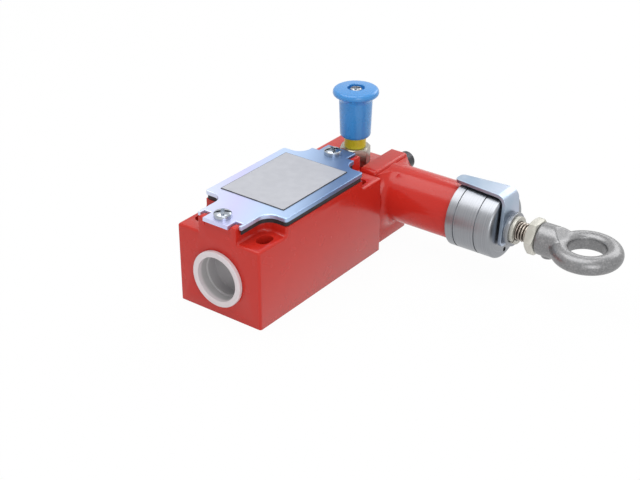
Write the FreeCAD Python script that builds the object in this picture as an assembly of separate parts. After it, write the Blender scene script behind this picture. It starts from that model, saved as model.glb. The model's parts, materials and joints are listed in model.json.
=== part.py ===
"""Rope pull switch: a die-cast body with a cover, a head with a sprung pull rod, an eye and a reset knob.

Lengths are in millimetres. The origin is the middle of the four fixing slots, on the mounting face.
+X is the way the rope pulls, +Y runs from the cable entry to the head, +Z points out of the mounting face.
"""
import FreeCAD, Part
import math
import os

V = FreeCAD.Vector

# Body casing
BODY_LENGTH = 79.0
BODY_WIDTH = 40.0
RIM_HEIGHT = 37.0
LEDGE_DROP = 3.7
LEDGE_FLOOR_RADIUS = 1.2
BODY_EDGE_RADIUS = 1.0
WALL = 3.0
NECK_HALF_WIDTH = 9.1
FRONT_LEDGE_LENGTH = 16.4
REAR_LEDGE_LENGTH = 13.1
LEDGE_CORNER_RADIUS = 5.0
CAVITY_FRONT_BLOCK = 19.0
CAVITY_REAR_BLOCK = 15.0
CAVITY_CORNER_RADIUS = 2.5
NECK_WALL = 2.8
NECK_POCKET_FLOOR = 20.0
SCREW_BOSS_REACH = 9.0
LUG_RISE = 3.0
LUG_EDGE_RADIUS = 0.8
FRONT_LUG_INNER = 6.3
FRONT_LUG_LENGTH = 3.6
REAR_LUG_INNER = 7.3
REAR_LUG_LENGTH = 6.1

# Fixing slots, long way along Y
FIXING_SPACING_X = 30.0
FIXING_SPACING_Y = 60.0
FIXING_SLOT_WIDTH = 5.3
FIXING_SLOT_LENGTH = 7.3

# Cover, its gasket and its screws
GASKET_THICKNESS = 2.0
COVER_THICKNESS = 1.7
COVER_EDGE_RADIUS = 0.4
COVER_CORNER_RADIUS = 1.2
COVER_NECK_HALF_WIDTH = 10.6
COVER_FRONT_SETBACK = 1.6
COVER_LUG_GAP = 0.3
FRONT_TAB_OVERHANG = 1.0
REAR_TAB_SHORT = 0.3
GASKET_INSET = 0.4
COVER_SCREW_FRONT_INSET = 3.6
COVER_SCREW_REAR_INSET = 6.5
COVER_SCREW_HEAD_RADIUS = 3.5
COVER_SCREW_HEAD_HEIGHT = 2.6
COVER_SCREW_RADIUS = 1.95
COVER_SCREW_LENGTH = 9.0
SCREW_HOLE_CLEARANCE = 0.05

# Cable entry and its blanking plug
ENTRY_RADIUS = 10.2
ENTRY_DROP = 21.0
PLUG_CLEARANCE = 0.2
PLUG_FLANGE_RADIUS = 12.0
PLUG_FLANGE_THICKNESS = 1.3
PLUG_CUP_RADIUS = 9.1
PLUG_CUP_DEPTH = 7.5
PLUG_LENGTH = 9.5

# Head casting with the tube that the rope pulls through
HEAD_HALF_WIDTH = 17.0
HEAD_DEPTH = 24.0
HEAD_BOTTOM = 0.5
HEAD_TOP = 34.7
HEAD_EDGE_RADIUS = 1.4
HEAD_FRONT_EDGE_RADIUS = 2.0
VALLEY_HALF_WIDTH = 9.4
VALLEY_FLOOR = 29.6
VALLEY_CORNER_RADIUS = 1.5
PULL_AXIS_SETBACK = 12.4
PULL_AXIS_Z = 22.0
TUBE_RADIUS = 11.8
TUBE_ROOT_RADIUS = 6.0
TUBE_BORE_RADIUS = 9.2
SPIGOT_RADIUS = 11.2
SPIGOT_LENGTH = 9.0
CAM_BORE_RADIUS = 5.0
CAM_END_GAP = 0.5
HEAD_SCREW_X = 14.0
HEAD_SCREW_UPPER_Z = 29.2
HEAD_SCREW_LOWER_Z = 6.0
HEAD_SCREW_RADIUS = 1.95
HEAD_SCREW_HEAD_RADIUS = 3.8
HEAD_SCREW_HEAD_HEIGHT = 4.0
HEAD_SCREW_GRIP = 5.0
HEX_SOCKET_ACROSS_FLATS = 3.0
HEX_SOCKET_DEPTH = 2.0
HEAD_GASKET_HALF_WIDTH = 8.2
HEAD_GASKET_BOTTOM = 13.0
HEAD_GASKET_TOP = 28.0
HEAD_GASKET_THICKNESS = 0.5

# Steel guide sleeve at the end of the tube
TUBE_LENGTH = 34.4
SLEEVE_LENGTH = 20.7
SLEEVE_SHELF_LENGTH = 2.7
SLEEVE_SHELF_DROP = 5.0
SLEEVE_RADIUS = 13.5
SLEEVE_END_RADIUS = 1.2
SLEEVE_FIT = 0.05
GROOVE_SETBACKS = (3.6, 13.1)
GROOVE_WIDTH = 0.5
GROOVE_DEPTH = 0.5
SPANNER_HOLE_RADIUS = 1.0
SPANNER_HOLE_PITCH_RADIUS = 11.2
SPANNER_HOLE_TURN = 9.0
SPANNER_HOLE_DEPTH = 3.0
SEAL_OUTER_RADIUS = 6.4
SEAL_LENGTH = 2.4
SEAL_CLEARANCE = 0.1

# Pull rod and what is threaded on it
PULL_TRAVEL = 18.0
ROD_RADIUS = 4.5
ROD_RUNNING_CLEARANCE = 0.05
ROD_STUD_RADIUS = 2.6
ROD_STUD_LENGTH = 9.0
ROD_THREAD_RADIUS = 3.95
THREAD_CLEARANCE = 0.05
BRACKET_THICKNESS = 1.4
BRACKET_GAP = 0.7
BRACKET_ARM_GAP = 0.6
BRACKET_BEND_RADIUS = 3.0
BRACKET_ARM_LENGTH = 25.2
BRACKET_TIP_HALF_WIDTH = 3.0
BRACKET_HALF_WIDTH = 6.2
BRACKET_TIP_RADIUS = 2.0
BRACKET_DROP = 6.8
BRACKET_CORNER_RADIUS = 2.5
WASHER_RADIUS = 7.0
WASHER_THICKNESS = 1.4
LOCK_RING_RADIUS = 6.2
LOCK_RING_THICKNESS = 1.2
JAM_NUT_ACROSS_FLATS = 13.0
JAM_NUT_THICKNESS = 3.8
JAM_NUT_CHAMFER = 0.5
THREAD_SHOWN = 6.3
EYE_BOSS_RADIUS = 6.6
EYE_BOSS_LENGTH = 6.8
EYE_NECK_LENGTH = 4.2
EYE_NECK_HALF_HEIGHT = 3.4
EYE_EDGE_CHAMFER = 0.7
EYE_NUB_RADIUS = 2.6
EYE_NUB_HEIGHT = 0.8
EYE_NUB_SETBACK = 0.4
EYE_RING_REACH = 20.0
EYE_RING_OUTER_RADIUS = 14.2
EYE_RING_HALF_HEIGHT = 3.6
EYE_HOLE_RADIUS = 7.4
EYE_HOLE_WALL_HALF_HEIGHT = 2.3
EYE_THREAD_DEPTH = 6.0

# Cam, spring plate and pull spring inside the tube
CAM_LAND_RADIUS = 4.95
CAM_START_RADIUS = 2.0
CAM_SLOPE = 0.15
CAM_RAMP_SPARE = 0.5
CAM_NECK_LENGTH = 2.5
SPRING_PLATE_RADIUS = 8.9
SPRING_PLATE_THICKNESS = 2.7
SPRING_PLATE_GAP = 0.3
PULL_SPRING_COIL_RADIUS = 6.7
PULL_SPRING_WIRE_RADIUS = 1.0
PULL_SPRING_TURNS = 7
SPRING_END_GAP = 0.05
SPRING_WIRE_SIDES = 8
SPRING_STEPS_PER_TURN = 16

# Contact plunger, contact carrier and its spring
PLUNGER_X = 5.0
PLUNGER_RADIUS = 1.5
PLUNGER_RUNNING_CLEARANCE = 0.06
CAM_CLEARANCE = 0.12
CARRIER_HALF_WIDTH = 3.0
CARRIER_HALF_HEIGHT = 3.6
CARRIER_REAR_GAP = 0.5
CARRIER_LENGTH = 15.4
CROSSHEAD_HALF_WIDTH = 7.0
CROSSHEAD_THICKNESS = 1.8
CARRIER_CLEARANCE = 0.1
BRIDGE_LENGTH = 9.6
BRIDGE_WIDTH = 2.6
BRIDGE_THICKNESS = 0.8
BRIDGE_SETBACKS = (13.5, 7.5)
BRIDGE_SLOT_MARGIN = 0.5
CONTACT_SPRING_COIL_RADIUS = 2.0
CONTACT_SPRING_WIRE_RADIUS = 0.35
CONTACT_SPRING_TURNS = 6

# Contact block with its terminals
BLOCK_HALF_WIDTH = 14.5
BLOCK_FRONT_GAP = 7.5
BLOCK_REAR_GAP = 5.5
BLOCK_TOP = 29.0
BLOCK_CHANNEL_END_WALL = 6.0
TERMINAL_LEDGE_HEIGHT = 22.5
TERMINAL_LEDGE_INNER = 6.0
TERMINAL_LEDGE_LENGTH = 9.5
TERMINAL_X = 10.4
TERMINAL_CLAMP_SIZE = 6.8
TERMINAL_CLAMP_THICKNESS = 1.2
TERMINAL_SCREW_HEAD_RADIUS = 2.7
TERMINAL_SCREW_HEAD_HEIGHT = 2.0
TERMINAL_SCREW_RADIUS = 1.7
TERMINAL_SCREW_LENGTH = 6.0
DRIVER_SLOT_WIDTH = 0.8
DRIVER_SLOT_DEPTH = 0.9
BLOCK_SCREW_X = 10.4
BLOCK_SCREW_RADIUS = 1.5
BLOCK_SCREW_HEAD_RADIUS = 2.75
BLOCK_SCREW_HEAD_HEIGHT = 1.8
BLOCK_SCREW_GRIP = 2.0
EARTH_BOSS_SIDE_GAP = 4.5
EARTH_BOSS_FRONT_GAP = 3.6
EARTH_BOSS_RADIUS = 3.4
EARTH_BOSS_HEIGHT = 5.0
EARTH_SCREW_LENGTH = 5.0

# Reset knob on its collar and bush
KNOB_AXIS_SETBACK = 9.4
RESET_STROKE = 3.5
BUSH_BOSS_RADIUS = 6.2
BUSH_BOSS_RISE = 1.7
BUSH_HEX_HEIGHT = 7.6
BUSH_ACROSS_FLATS = 11.5
BUSH_HEX_TURN = 50.0
BUSH_CHAMFER = 0.8
BUSH_SPIGOT_RADIUS = 4.2
BUSH_SPIGOT_LENGTH = 3.3
LATCH_CHAMBER_RADIUS = 3.3
LATCH_CHAMBER_DEPTH = 5.0
BUSH_FIT = 0.05
COLLAR_RADIUS = 4.5
COLLAR_BORE_RADIUS = 3.4
COLLAR_TOP_CLEARANCE = 1.5
KNOB_REST_GAP = 1.0
KNOB_HEIGHT = 21.4
KNOB_LOW_RADIUS = 6.3
KNOB_WAIST_RADIUS = 6.8
KNOB_BOTTOM_ROUND = 1.3
KNOB_FLARE_HEIGHT = 6.3
KNOB_CAP_RADIUS = 9.5
KNOB_CAP_HEIGHT = 2.8
KNOB_RIM_DROP = 1.7
KNOB_CROWN_DROP = 0.4
KNOB_CROWN_RADIUS = 4.4
KNOB_RECESS_RADIUS = 3.6
KNOB_RECESS_DEPTH = 1.6
KNOB_BORE_RADIUS = 4.6
STEM_RADIUS = 1.7
STEM_TOP_COVER = 3.2
STEM_SOCKET_DEPTH = 5.0
STEM_RUNNING_CLEARANCE = 0.05
STEM_CLIP_RADIUS = 2.9
STEM_CLIP_THICKNESS = 0.7
STEM_CLIP_GAP = 0.1
KNOB_SCREW_HEAD_RADIUS = 2.45
KNOB_SCREW_HEAD_HEIGHT = 1.2
KNOB_SCREW_RADIUS = 1.0
KNOB_SCREW_LENGTH = 8.0
RESET_SPRING_COIL_RADIUS = 2.65
RESET_SPRING_WIRE_RADIUS = 0.4
RESET_SPRING_TURNS = 7

# Places worked out from the sizes above
HALF_LENGTH = BODY_LENGTH / 2
HALF_WIDTH = BODY_WIDTH / 2
CAVITY_FRONT_Y = -HALF_LENGTH + CAVITY_FRONT_BLOCK
CAVITY_REAR_Y = HALF_LENGTH - CAVITY_REAR_BLOCK
ENTRY_HEIGHT = RIM_HEIGHT - ENTRY_DROP
PULL_AXIS_Y = HALF_LENGTH + PULL_AXIS_SETBACK
KNOB_AXIS_Y = HALF_LENGTH + KNOB_AXIS_SETBACK
LEDGE_HEIGHT = RIM_HEIGHT - LEDGE_DROP
LUG_TOP = RIM_HEIGHT + LUG_RISE
COVER_BOTTOM = RIM_HEIGHT + GASKET_THICKNESS
COVER_TOP = COVER_BOTTOM + COVER_THICKNESS
HEAD_REAR_Y = HALF_LENGTH + HEAD_DEPTH
SLEEVE_START_X = HEAD_HALF_WIDTH + TUBE_LENGTH
SLEEVE_END_X = SLEEVE_START_X + SLEEVE_LENGTH
SLEEVE_UPPER_END_X = SLEEVE_END_X - SLEEVE_SHELF_LENGTH
TUBE_END_X = SLEEVE_START_X + SPIGOT_LENGTH
PLATE_BACK_X = HEAD_HALF_WIDTH + SPRING_PLATE_GAP
PLATE_FRONT_X = PLATE_BACK_X + SPRING_PLATE_THICKNESS
BRACKET_BACK_X = SLEEVE_END_X + BRACKET_GAP
BRACKET_FACE_X = BRACKET_BACK_X + BRACKET_THICKNESS
BRACKET_TIP_X = BRACKET_FACE_X - BRACKET_ARM_LENGTH
BRACKET_TOP = PULL_AXIS_Z + SLEEVE_RADIUS + BRACKET_ARM_GAP + BRACKET_THICKNESS
LOCK_RING_FACE_X = BRACKET_FACE_X + LOCK_RING_THICKNESS
WASHER_FACE_X = LOCK_RING_FACE_X + WASHER_THICKNESS
JAM_NUT_START_X = WASHER_FACE_X + THREAD_SHOWN
EYE_START_X = JAM_NUT_START_X + JAM_NUT_THICKNESS
EYE_RING_X = EYE_START_X + EYE_RING_REACH
CARRIER_REAR_Y = CAVITY_REAR_Y - CARRIER_REAR_GAP
CARRIER_FRONT_Y = CARRIER_REAR_Y - CARRIER_LENGTH
BRIDGE_PLACES = [CARRIER_REAR_Y - setback for setback in BRIDGE_SETBACKS]
BLOCK_FRONT_Y = CAVITY_FRONT_Y + BLOCK_FRONT_GAP
BLOCK_REAR_Y = CAVITY_REAR_Y - BLOCK_REAR_GAP
BLOCK_SCREW_Y = (BLOCK_FRONT_Y + BLOCK_REAR_Y) / 2
EARTH_BOSS_X = -HALF_WIDTH + WALL + EARTH_BOSS_SIDE_GAP
EARTH_BOSS_Y = CAVITY_FRONT_Y + EARTH_BOSS_FRONT_GAP
EARTH_BOSS_TOP = WALL + EARTH_BOSS_HEIGHT
BUSH_BOSS_TOP = VALLEY_FLOOR + BUSH_BOSS_RISE
BUSH_TOP = BUSH_BOSS_TOP + BUSH_HEX_HEIGHT
KNOB_BOTTOM = BUSH_TOP + RESET_STROKE + KNOB_REST_GAP
KNOB_TOP = KNOB_BOTTOM + KNOB_HEIGHT
KNOB_RECESS_FLOOR = KNOB_TOP - KNOB_RECESS_DEPTH
STEM_TOP = KNOB_RECESS_FLOOR - STEM_TOP_COVER
KNOB_CEILING = STEM_TOP - STEM_SOCKET_DEPTH
COLLAR_TOP = KNOB_CEILING - RESET_STROKE - COLLAR_TOP_CLEARANCE
STEM_BOTTOM = BUSH_BOSS_TOP - STEM_CLIP_GAP - STEM_CLIP_THICKNESS


def box(x, y, z):
    """A block from three pairs of limits."""
    return Part.makeBox(x[1] - x[0], y[1] - y[0], z[1] - z[0], V(x[0], y[0], z[0]))


def round_edges(shape, radius, wanted):
    """Round every edge whose middle point and direction are wanted."""
    edges = []
    for edge in shape.Edges:
        middle = edge.valueAt((edge.FirstParameter + edge.LastParameter) / 2)
        along = edge.tangentAt((edge.FirstParameter + edge.LastParameter) / 2)
        if wanted(middle, along):
            edges.append(edge)
    return shape.makeFillet(radius, edges)


def upright(along):
    return abs(along.z) > 0.99


def near(value, target):
    return abs(value - target) < 0.01


def prism(points, z_low, z_high):
    """An upright prism over a closed outline of x, y points."""
    corners = [V(x, y, z_low) for x, y in points]
    return Part.Face(Part.makePolygon(corners + corners[:1])).extrude(V(0, 0, z_high - z_low))


def rod_along_x(radius, x_low, x_high):
    """A round bar on the pull axis."""
    return Part.makeCylinder(radius, x_high - x_low, V(x_low, PULL_AXIS_Y, PULL_AXIS_Z), V(1, 0, 0))


def turned_on_pull_axis(profile):
    """A solid turned about the pull axis from x, radius points."""
    corners = [V(x, PULL_AXIS_Y, PULL_AXIS_Z + radius) for x, radius in profile]
    face = Part.Face(Part.makePolygon(corners + corners[:1]))
    return face.revolve(V(0, PULL_AXIS_Y, PULL_AXIS_Z), V(1, 0, 0), 360)


def post(x, y, radius, z_low, z_high):
    """An upright round bar."""
    return Part.makeCylinder(radius, z_high - z_low, V(x, y, z_low))


def bar_along_y(x, z, radius, y_low, y_high):
    """A round bar along the body."""
    return Part.makeCylinder(radius, y_high - y_low, V(x, y_low, z), V(0, 1, 0))


def joined(shapes):
    """One solid from shapes that overlap or touch face to face."""
    return shapes[0].fuse(shapes[1:]).removeSplitter()


def group(shapes):
    return Part.makeCompound(shapes)


def hexagon(across_flats, start_angle):
    """The corners of a hexagon about the origin, as pairs."""
    corner_radius = across_flats / 2 / math.cos(math.pi / 6)
    angles = [math.radians(start_angle + 60 * i) for i in range(6)]
    return [(corner_radius * math.cos(a), corner_radius * math.sin(a)) for a in angles]


def coil(coil_radius, wire_radius, turns, length, place):
    """A compression spring lofted through many-sided wire sections, made upright and then put in place."""
    steps = turns * SPRING_STEPS_PER_TURN
    rise = (length - 2 * wire_radius) / steps
    sections = []
    for step in range(steps + 1):
        turned = 2 * math.pi * step / SPRING_STEPS_PER_TURN
        corners = []
        for side in range(SPRING_WIRE_SIDES):
            around = 2 * math.pi * side / SPRING_WIRE_SIDES
            radius = coil_radius + wire_radius * math.cos(around)
            height = wire_radius + rise * step + wire_radius * math.sin(around)
            corners.append(V(radius * math.cos(turned), radius * math.sin(turned), height))
        sections.append(Part.makePolygon(corners + corners[:1]))
    spring = Part.makeLoft(sections, True, True)
    spring.Placement = place.multiply(spring.Placement)
    return spring


def slotted_post(x, y, head_radius, head_height, shank_radius, shank_length, seat):
    """A cheese-head screw with a driver slot, pointing down from its seat."""
    head = post(x, y, head_radius, seat, seat + head_height)
    shank = post(x, y, shank_radius, seat - shank_length, seat)
    slot_bottom = seat + head_height - DRIVER_SLOT_DEPTH
    slot = box((x - DRIVER_SLOT_WIDTH / 2, x + DRIVER_SLOT_WIDTH / 2),
               (y - head_radius, y + head_radius), (slot_bottom, seat + head_height))
    return joined([head, shank]).cut(slot)


def ledge_cutter(side, end, inner, length, z_low, z_high):
    """The corner of the plan that drops to the fixing ledge, with its inner corner rounded."""
    x_limits = sorted((side * inner, side * BODY_WIDTH))
    y_limits = sorted((end * (HALF_LENGTH - length), end * BODY_LENGTH))
    block = box(x_limits, y_limits, (z_low, z_high))
    return round_edges(block, LEDGE_CORNER_RADIUS,
                       lambda p, t: upright(t) and near(abs(p.x), inner) and abs(p.y) < HALF_LENGTH)


def ledge_cutters(inner, z_low, z_high, grow=0.0):
    """All four corners of the plan."""
    tools = []
    for side in (-1, 1):
        tools.append(ledge_cutter(side, -1, inner, FRONT_LEDGE_LENGTH + grow, z_low, z_high))
        tools.append(ledge_cutter(side, 1, inner, REAR_LEDGE_LENGTH + grow, z_low, z_high))
    return tools


def fixing_slots():
    """The four slots that fasten the switch to a wall or panel."""
    radius = FIXING_SLOT_WIDTH / 2
    straight = FIXING_SLOT_LENGTH - FIXING_SLOT_WIDTH
    slots = []
    for x in (-FIXING_SPACING_X / 2, FIXING_SPACING_X / 2):
        for y in (-FIXING_SPACING_Y / 2, FIXING_SPACING_Y / 2):
            ends = [post(x, y + s * straight / 2, radius, 0, RIM_HEIGHT) for s in (-1, 1)]
            middle = box((x - radius, x + radius), (y - straight / 2, y + straight / 2), (0, RIM_HEIGHT))
            slots.append(ends[0].fuse([ends[1], middle]))
    return slots


def head_screw_places():
    return [(side * HEAD_SCREW_X, z) for side in (-1, 1) for z in (HEAD_SCREW_LOWER_Z, HEAD_SCREW_UPPER_Z)]


def cover_screw_places():
    return (-HALF_LENGTH + COVER_SCREW_FRONT_INSET, HALF_LENGTH - COVER_SCREW_REAR_INSET)


def body_lugs():
    """Ears of the casting that stand either side of the cover's two tabs."""
    lugs = []
    for side in (-1, 1):
        for inner, y in ((FRONT_LUG_INNER, (-HALF_LENGTH, -HALF_LENGTH + FRONT_LUG_LENGTH)),
                         (REAR_LUG_INNER, (HALF_LENGTH - REAR_LUG_LENGTH, HALF_LENGTH))):
            x = sorted((side * inner, side * NECK_HALF_WIDTH))
            lug = box(x, y, (LEDGE_HEIGHT, LUG_TOP))
            lugs.append(round_edges(lug, LUG_EDGE_RADIUS, lambda p, t: near(p.z, LUG_TOP)))
    return lugs


def body_cavity():
    """The wiring space, open at the top under the cover."""
    room = box((-HALF_WIDTH + WALL, HALF_WIDTH - WALL), (CAVITY_FRONT_Y, CAVITY_REAR_Y), (WALL, RIM_HEIGHT))
    room = round_edges(room, CAVITY_CORNER_RADIUS, lambda p, t: upright(t))
    neck = NECK_HALF_WIDTH - NECK_WALL
    pocket = box((-neck, neck), (-HALF_LENGTH + SCREW_BOSS_REACH, 0), (NECK_POCKET_FLOOR, RIM_HEIGHT))
    entry = bar_along_y(0, ENTRY_HEIGHT, ENTRY_RADIUS, -HALF_LENGTH, 0)
    return room.fuse([pocket, entry])


def body_casing():
    block = box((-HALF_WIDTH, HALF_WIDTH), (-HALF_LENGTH, HALF_LENGTH), (0, RIM_HEIGHT))
    block = round_edges(block, BODY_EDGE_RADIUS, lambda p, t: upright(t))
    ledges = [round_edges(cutter, LEDGE_FLOOR_RADIUS,
                          lambda p, t: near(p.z, LEDGE_HEIGHT) and abs(p.x) < HALF_WIDTH)
              for cutter in ledge_cutters(NECK_HALF_WIDTH, LEDGE_HEIGHT, RIM_HEIGHT)]
    casing = block.cut(ledges)
    casing = round_edges(casing, BODY_EDGE_RADIUS,
                         lambda p, t: upright(t) and near(abs(p.x), HALF_WIDTH) and p.z > LEDGE_HEIGHT)
    casing = casing.fuse(body_lugs())
    holes = [body_cavity()] + fixing_slots()
    for y in cover_screw_places():
        holes.append(post(0, y, COVER_SCREW_RADIUS + SCREW_HOLE_CLEARANCE,
                          RIM_HEIGHT - COVER_SCREW_LENGTH, RIM_HEIGHT))
    for x, z in head_screw_places():
        holes.append(bar_along_y(x, z, HEAD_SCREW_RADIUS + SCREW_HOLE_CLEARANCE,
                                 HALF_LENGTH - HEAD_SCREW_GRIP, HALF_LENGTH))
    holes.append(plunger_passage(0, HALF_LENGTH))
    casing = casing.cut(holes)
    boss = post(EARTH_BOSS_X, EARTH_BOSS_Y, EARTH_BOSS_RADIUS, WALL, EARTH_BOSS_TOP)
    earth_hole = post(EARTH_BOSS_X, EARTH_BOSS_Y, TERMINAL_SCREW_RADIUS + SCREW_HOLE_CLEARANCE,
                      EARTH_BOSS_TOP - EARTH_SCREW_LENGTH, EARTH_BOSS_TOP)
    casing = casing.fuse(boss).cut(earth_hole)
    hole_radius = BLOCK_SCREW_RADIUS + SCREW_HOLE_CLEARANCE
    block_holes = [post(side * BLOCK_SCREW_X, BLOCK_SCREW_Y, hole_radius, WALL - BLOCK_SCREW_GRIP, WALL)
                   for side in (-1, 1)]
    return casing.cut(block_holes).removeSplitter()


def cover_blank(inset, z_low, z_high):
    """The plan that the cover and its gasket share, drawn in by an inset, with room for the four ears."""
    gap = COVER_LUG_GAP + inset
    plate = box((-HALF_WIDTH + inset, HALF_WIDTH - inset),
                (-HALF_LENGTH + COVER_FRONT_SETBACK + inset, HALF_LENGTH - REAR_LUG_LENGTH - gap),
                (z_low, z_high))
    plate = plate.cut(ledge_cutters(COVER_NECK_HALF_WIDTH - inset, z_low, z_high, inset))
    plate = round_edges(plate, COVER_CORNER_RADIUS,
                        lambda p, t: upright(t) and near(abs(p.x), HALF_WIDTH - inset))
    front_half, rear_half = FRONT_LUG_INNER - gap, REAR_LUG_INNER - gap
    front_tab = box((-front_half, front_half), (-HALF_LENGTH - FRONT_TAB_OVERHANG + inset, 0),
                    (z_low, z_high))
    rear_tab = box((-rear_half, rear_half), (0, HALF_LENGTH - REAR_TAB_SHORT - inset), (z_low, z_high))
    blank = joined([plate, front_tab, rear_tab])
    cuts = [post(0, y, COVER_SCREW_RADIUS + SCREW_HOLE_CLEARANCE, z_low, z_high)
            for y in cover_screw_places()]
    for side in (-1, 1):
        x = sorted((side * front_half, side * (NECK_HALF_WIDTH + gap)))
        cuts.append(box(x, (-BODY_LENGTH, -HALF_LENGTH + FRONT_LUG_LENGTH + gap), (z_low, z_high)))
    return blank.cut(cuts)


def cover_gasket():
    blank = cover_blank(GASKET_INSET, RIM_HEIGHT, COVER_BOTTOM)
    opening = box((-HALF_WIDTH + WALL, HALF_WIDTH - WALL),
                  (CAVITY_FRONT_Y, CAVITY_REAR_Y),
                  (RIM_HEIGHT, COVER_BOTTOM))
    return blank.cut(round_edges(opening, CAVITY_CORNER_RADIUS, lambda p, t: upright(t)))


def cover_plate():
    plate = cover_blank(0, COVER_BOTTOM, COVER_TOP)
    return round_edges(plate, COVER_EDGE_RADIUS,
                       lambda p, t: (near(p.z, COVER_TOP) and abs(p.x) > COVER_SCREW_RADIUS + 1
                                     and abs(t.z) < 0.01))


def cover_screws():
    screws = []
    for y in cover_screw_places():
        head = post(0, y, COVER_SCREW_HEAD_RADIUS, COVER_TOP, COVER_TOP + COVER_SCREW_HEAD_HEIGHT)
        head = round_edges(head, COVER_SCREW_HEAD_HEIGHT / 2,
                           lambda p, t: near(p.z, COVER_TOP + COVER_SCREW_HEAD_HEIGHT))
        shank = post(0, y, COVER_SCREW_RADIUS, RIM_HEIGHT - COVER_SCREW_LENGTH, COVER_TOP)
        screws.append(joined([head, shank]))
    return group(screws)


def entry_plug():
    radius = ENTRY_RADIUS - PLUG_CLEARANCE
    front = -HALF_LENGTH - PLUG_FLANGE_THICKNESS
    flange = bar_along_y(0, ENTRY_HEIGHT, PLUG_FLANGE_RADIUS, front, -HALF_LENGTH)
    flange = round_edges(flange, PLUG_FLANGE_THICKNESS / 2, lambda p, t: near(p.y, front))
    barrel = bar_along_y(0, ENTRY_HEIGHT, radius, -HALF_LENGTH, -HALF_LENGTH + PLUG_LENGTH)
    cup = bar_along_y(0, ENTRY_HEIGHT, PLUG_CUP_RADIUS, front, -HALF_LENGTH + PLUG_CUP_DEPTH)
    return joined([flange, barrel]).cut(cup)


def cam_start_x():
    """Where the cam's cone begins, so that the plunger stays on it over the whole pull."""
    return PLUNGER_X - PULL_TRAVEL - CAM_RAMP_SPARE


def plunger_passage(y_low, y_high):
    return bar_along_y(PLUNGER_X, PULL_AXIS_Z, PLUNGER_RADIUS + PLUNGER_RUNNING_CLEARANCE, y_low, y_high)


def plunger_tip_y():
    """Where the middle of the plunger's round tip lies, a cam clearance off the cone of the cam."""
    cone_cosine = math.cos(math.atan(CAM_SLOPE))
    return PULL_AXIS_Y - CAM_START_RADIUS - (PLUNGER_RADIUS + CAM_CLEARANCE) / cone_cosine


def tube_root():
    """The hollow curve that the tube widens by where it leaves the head, kept within the head's side."""
    start, end = HEAD_HALF_WIDTH, HEAD_HALF_WIDTH + TUBE_ROOT_RADIUS
    wide = TUBE_RADIUS + TUBE_ROOT_RADIUS
    middle = TUBE_ROOT_RADIUS * (1 - math.sqrt(0.5))

    def at(x, radius):
        return V(x, PULL_AXIS_Y, PULL_AXIS_Z + radius)

    curve = Part.Arc(at(start, wide), at(start + middle, TUBE_RADIUS + middle), at(end, TUBE_RADIUS))
    outline = Part.Wire([curve.toShape(), Part.makeLine(at(end, TUBE_RADIUS), at(end, 0)),
                         Part.makeLine(at(end, 0), at(start, 0)),
                         Part.makeLine(at(start, 0), at(start, wide))])
    root = Part.Face(outline).revolve(V(0, PULL_AXIS_Y, PULL_AXIS_Z), V(1, 0, 0), 360)
    return root.common(box((start, end), (HALF_LENGTH, HEAD_REAR_Y - HEAD_EDGE_RADIUS),
                           (HEAD_BOTTOM, HEAD_TOP - HEAD_EDGE_RADIUS)))


def head_casting():
    block = box((-HEAD_HALF_WIDTH, HEAD_HALF_WIDTH), (HALF_LENGTH, HEAD_REAR_Y), (HEAD_BOTTOM, HEAD_TOP))
    block = round_edges(block, HEAD_FRONT_EDGE_RADIUS,
                        lambda p, t: near(p.z, HEAD_TOP) and near(p.y, HALF_LENGTH))
    block = round_edges(block, HEAD_EDGE_RADIUS,
                        lambda p, t: near(p.y, HEAD_REAR_Y) or (near(p.z, HEAD_TOP) and abs(t.y) > 0.99))
    valley = box((-VALLEY_HALF_WIDTH, VALLEY_HALF_WIDTH), (0, 2 * HEAD_REAR_Y), (VALLEY_FLOOR, 2 * HEAD_TOP))
    valley = round_edges(valley, VALLEY_CORNER_RADIUS,
                         lambda p, t: abs(t.y) > 0.99 and near(p.z, VALLEY_FLOOR))
    boss = post(0, KNOB_AXIS_Y, BUSH_BOSS_RADIUS, PULL_AXIS_Z, BUSH_BOSS_TOP)
    tube = rod_along_x(TUBE_RADIUS, VALLEY_HALF_WIDTH, SLEEVE_START_X)
    spigot = rod_along_x(SPIGOT_RADIUS, VALLEY_HALF_WIDTH, TUBE_END_X)
    head = block.cut(valley).fuse([boss, tube_root(), tube, spigot])
    cuts = [rod_along_x(TUBE_BORE_RADIUS, HEAD_HALF_WIDTH, TUBE_END_X),
            rod_along_x(CAM_BORE_RADIUS, cam_start_x() - CAM_END_GAP, HEAD_HALF_WIDTH),
            plunger_passage(HALF_LENGTH, PULL_AXIS_Y),
            post(0, KNOB_AXIS_Y, LATCH_CHAMBER_RADIUS, BUSH_BOSS_TOP - LATCH_CHAMBER_DEPTH, BUSH_BOSS_TOP),
            post(0, KNOB_AXIS_Y, BUSH_SPIGOT_RADIUS + BUSH_FIT, BUSH_BOSS_TOP - BUSH_SPIGOT_LENGTH,
                 BUSH_BOSS_TOP),
            gasket_space()]
    for x, z in head_screw_places():
        cuts.append(bar_along_y(x, z, HEAD_SCREW_RADIUS + SCREW_HOLE_CLEARANCE, HALF_LENGTH, HEAD_REAR_Y))
    return head.cut(cuts).removeSplitter()


def gasket_space():
    """The shallow recess in the head's front face that its gasket fills."""
    return box((-HEAD_GASKET_HALF_WIDTH, HEAD_GASKET_HALF_WIDTH),
               (HALF_LENGTH, HALF_LENGTH + HEAD_GASKET_THICKNESS), (HEAD_GASKET_BOTTOM, HEAD_GASKET_TOP))


def head_gasket():
    return gasket_space().cut(plunger_passage(HALF_LENGTH, HEAD_REAR_Y))


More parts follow.
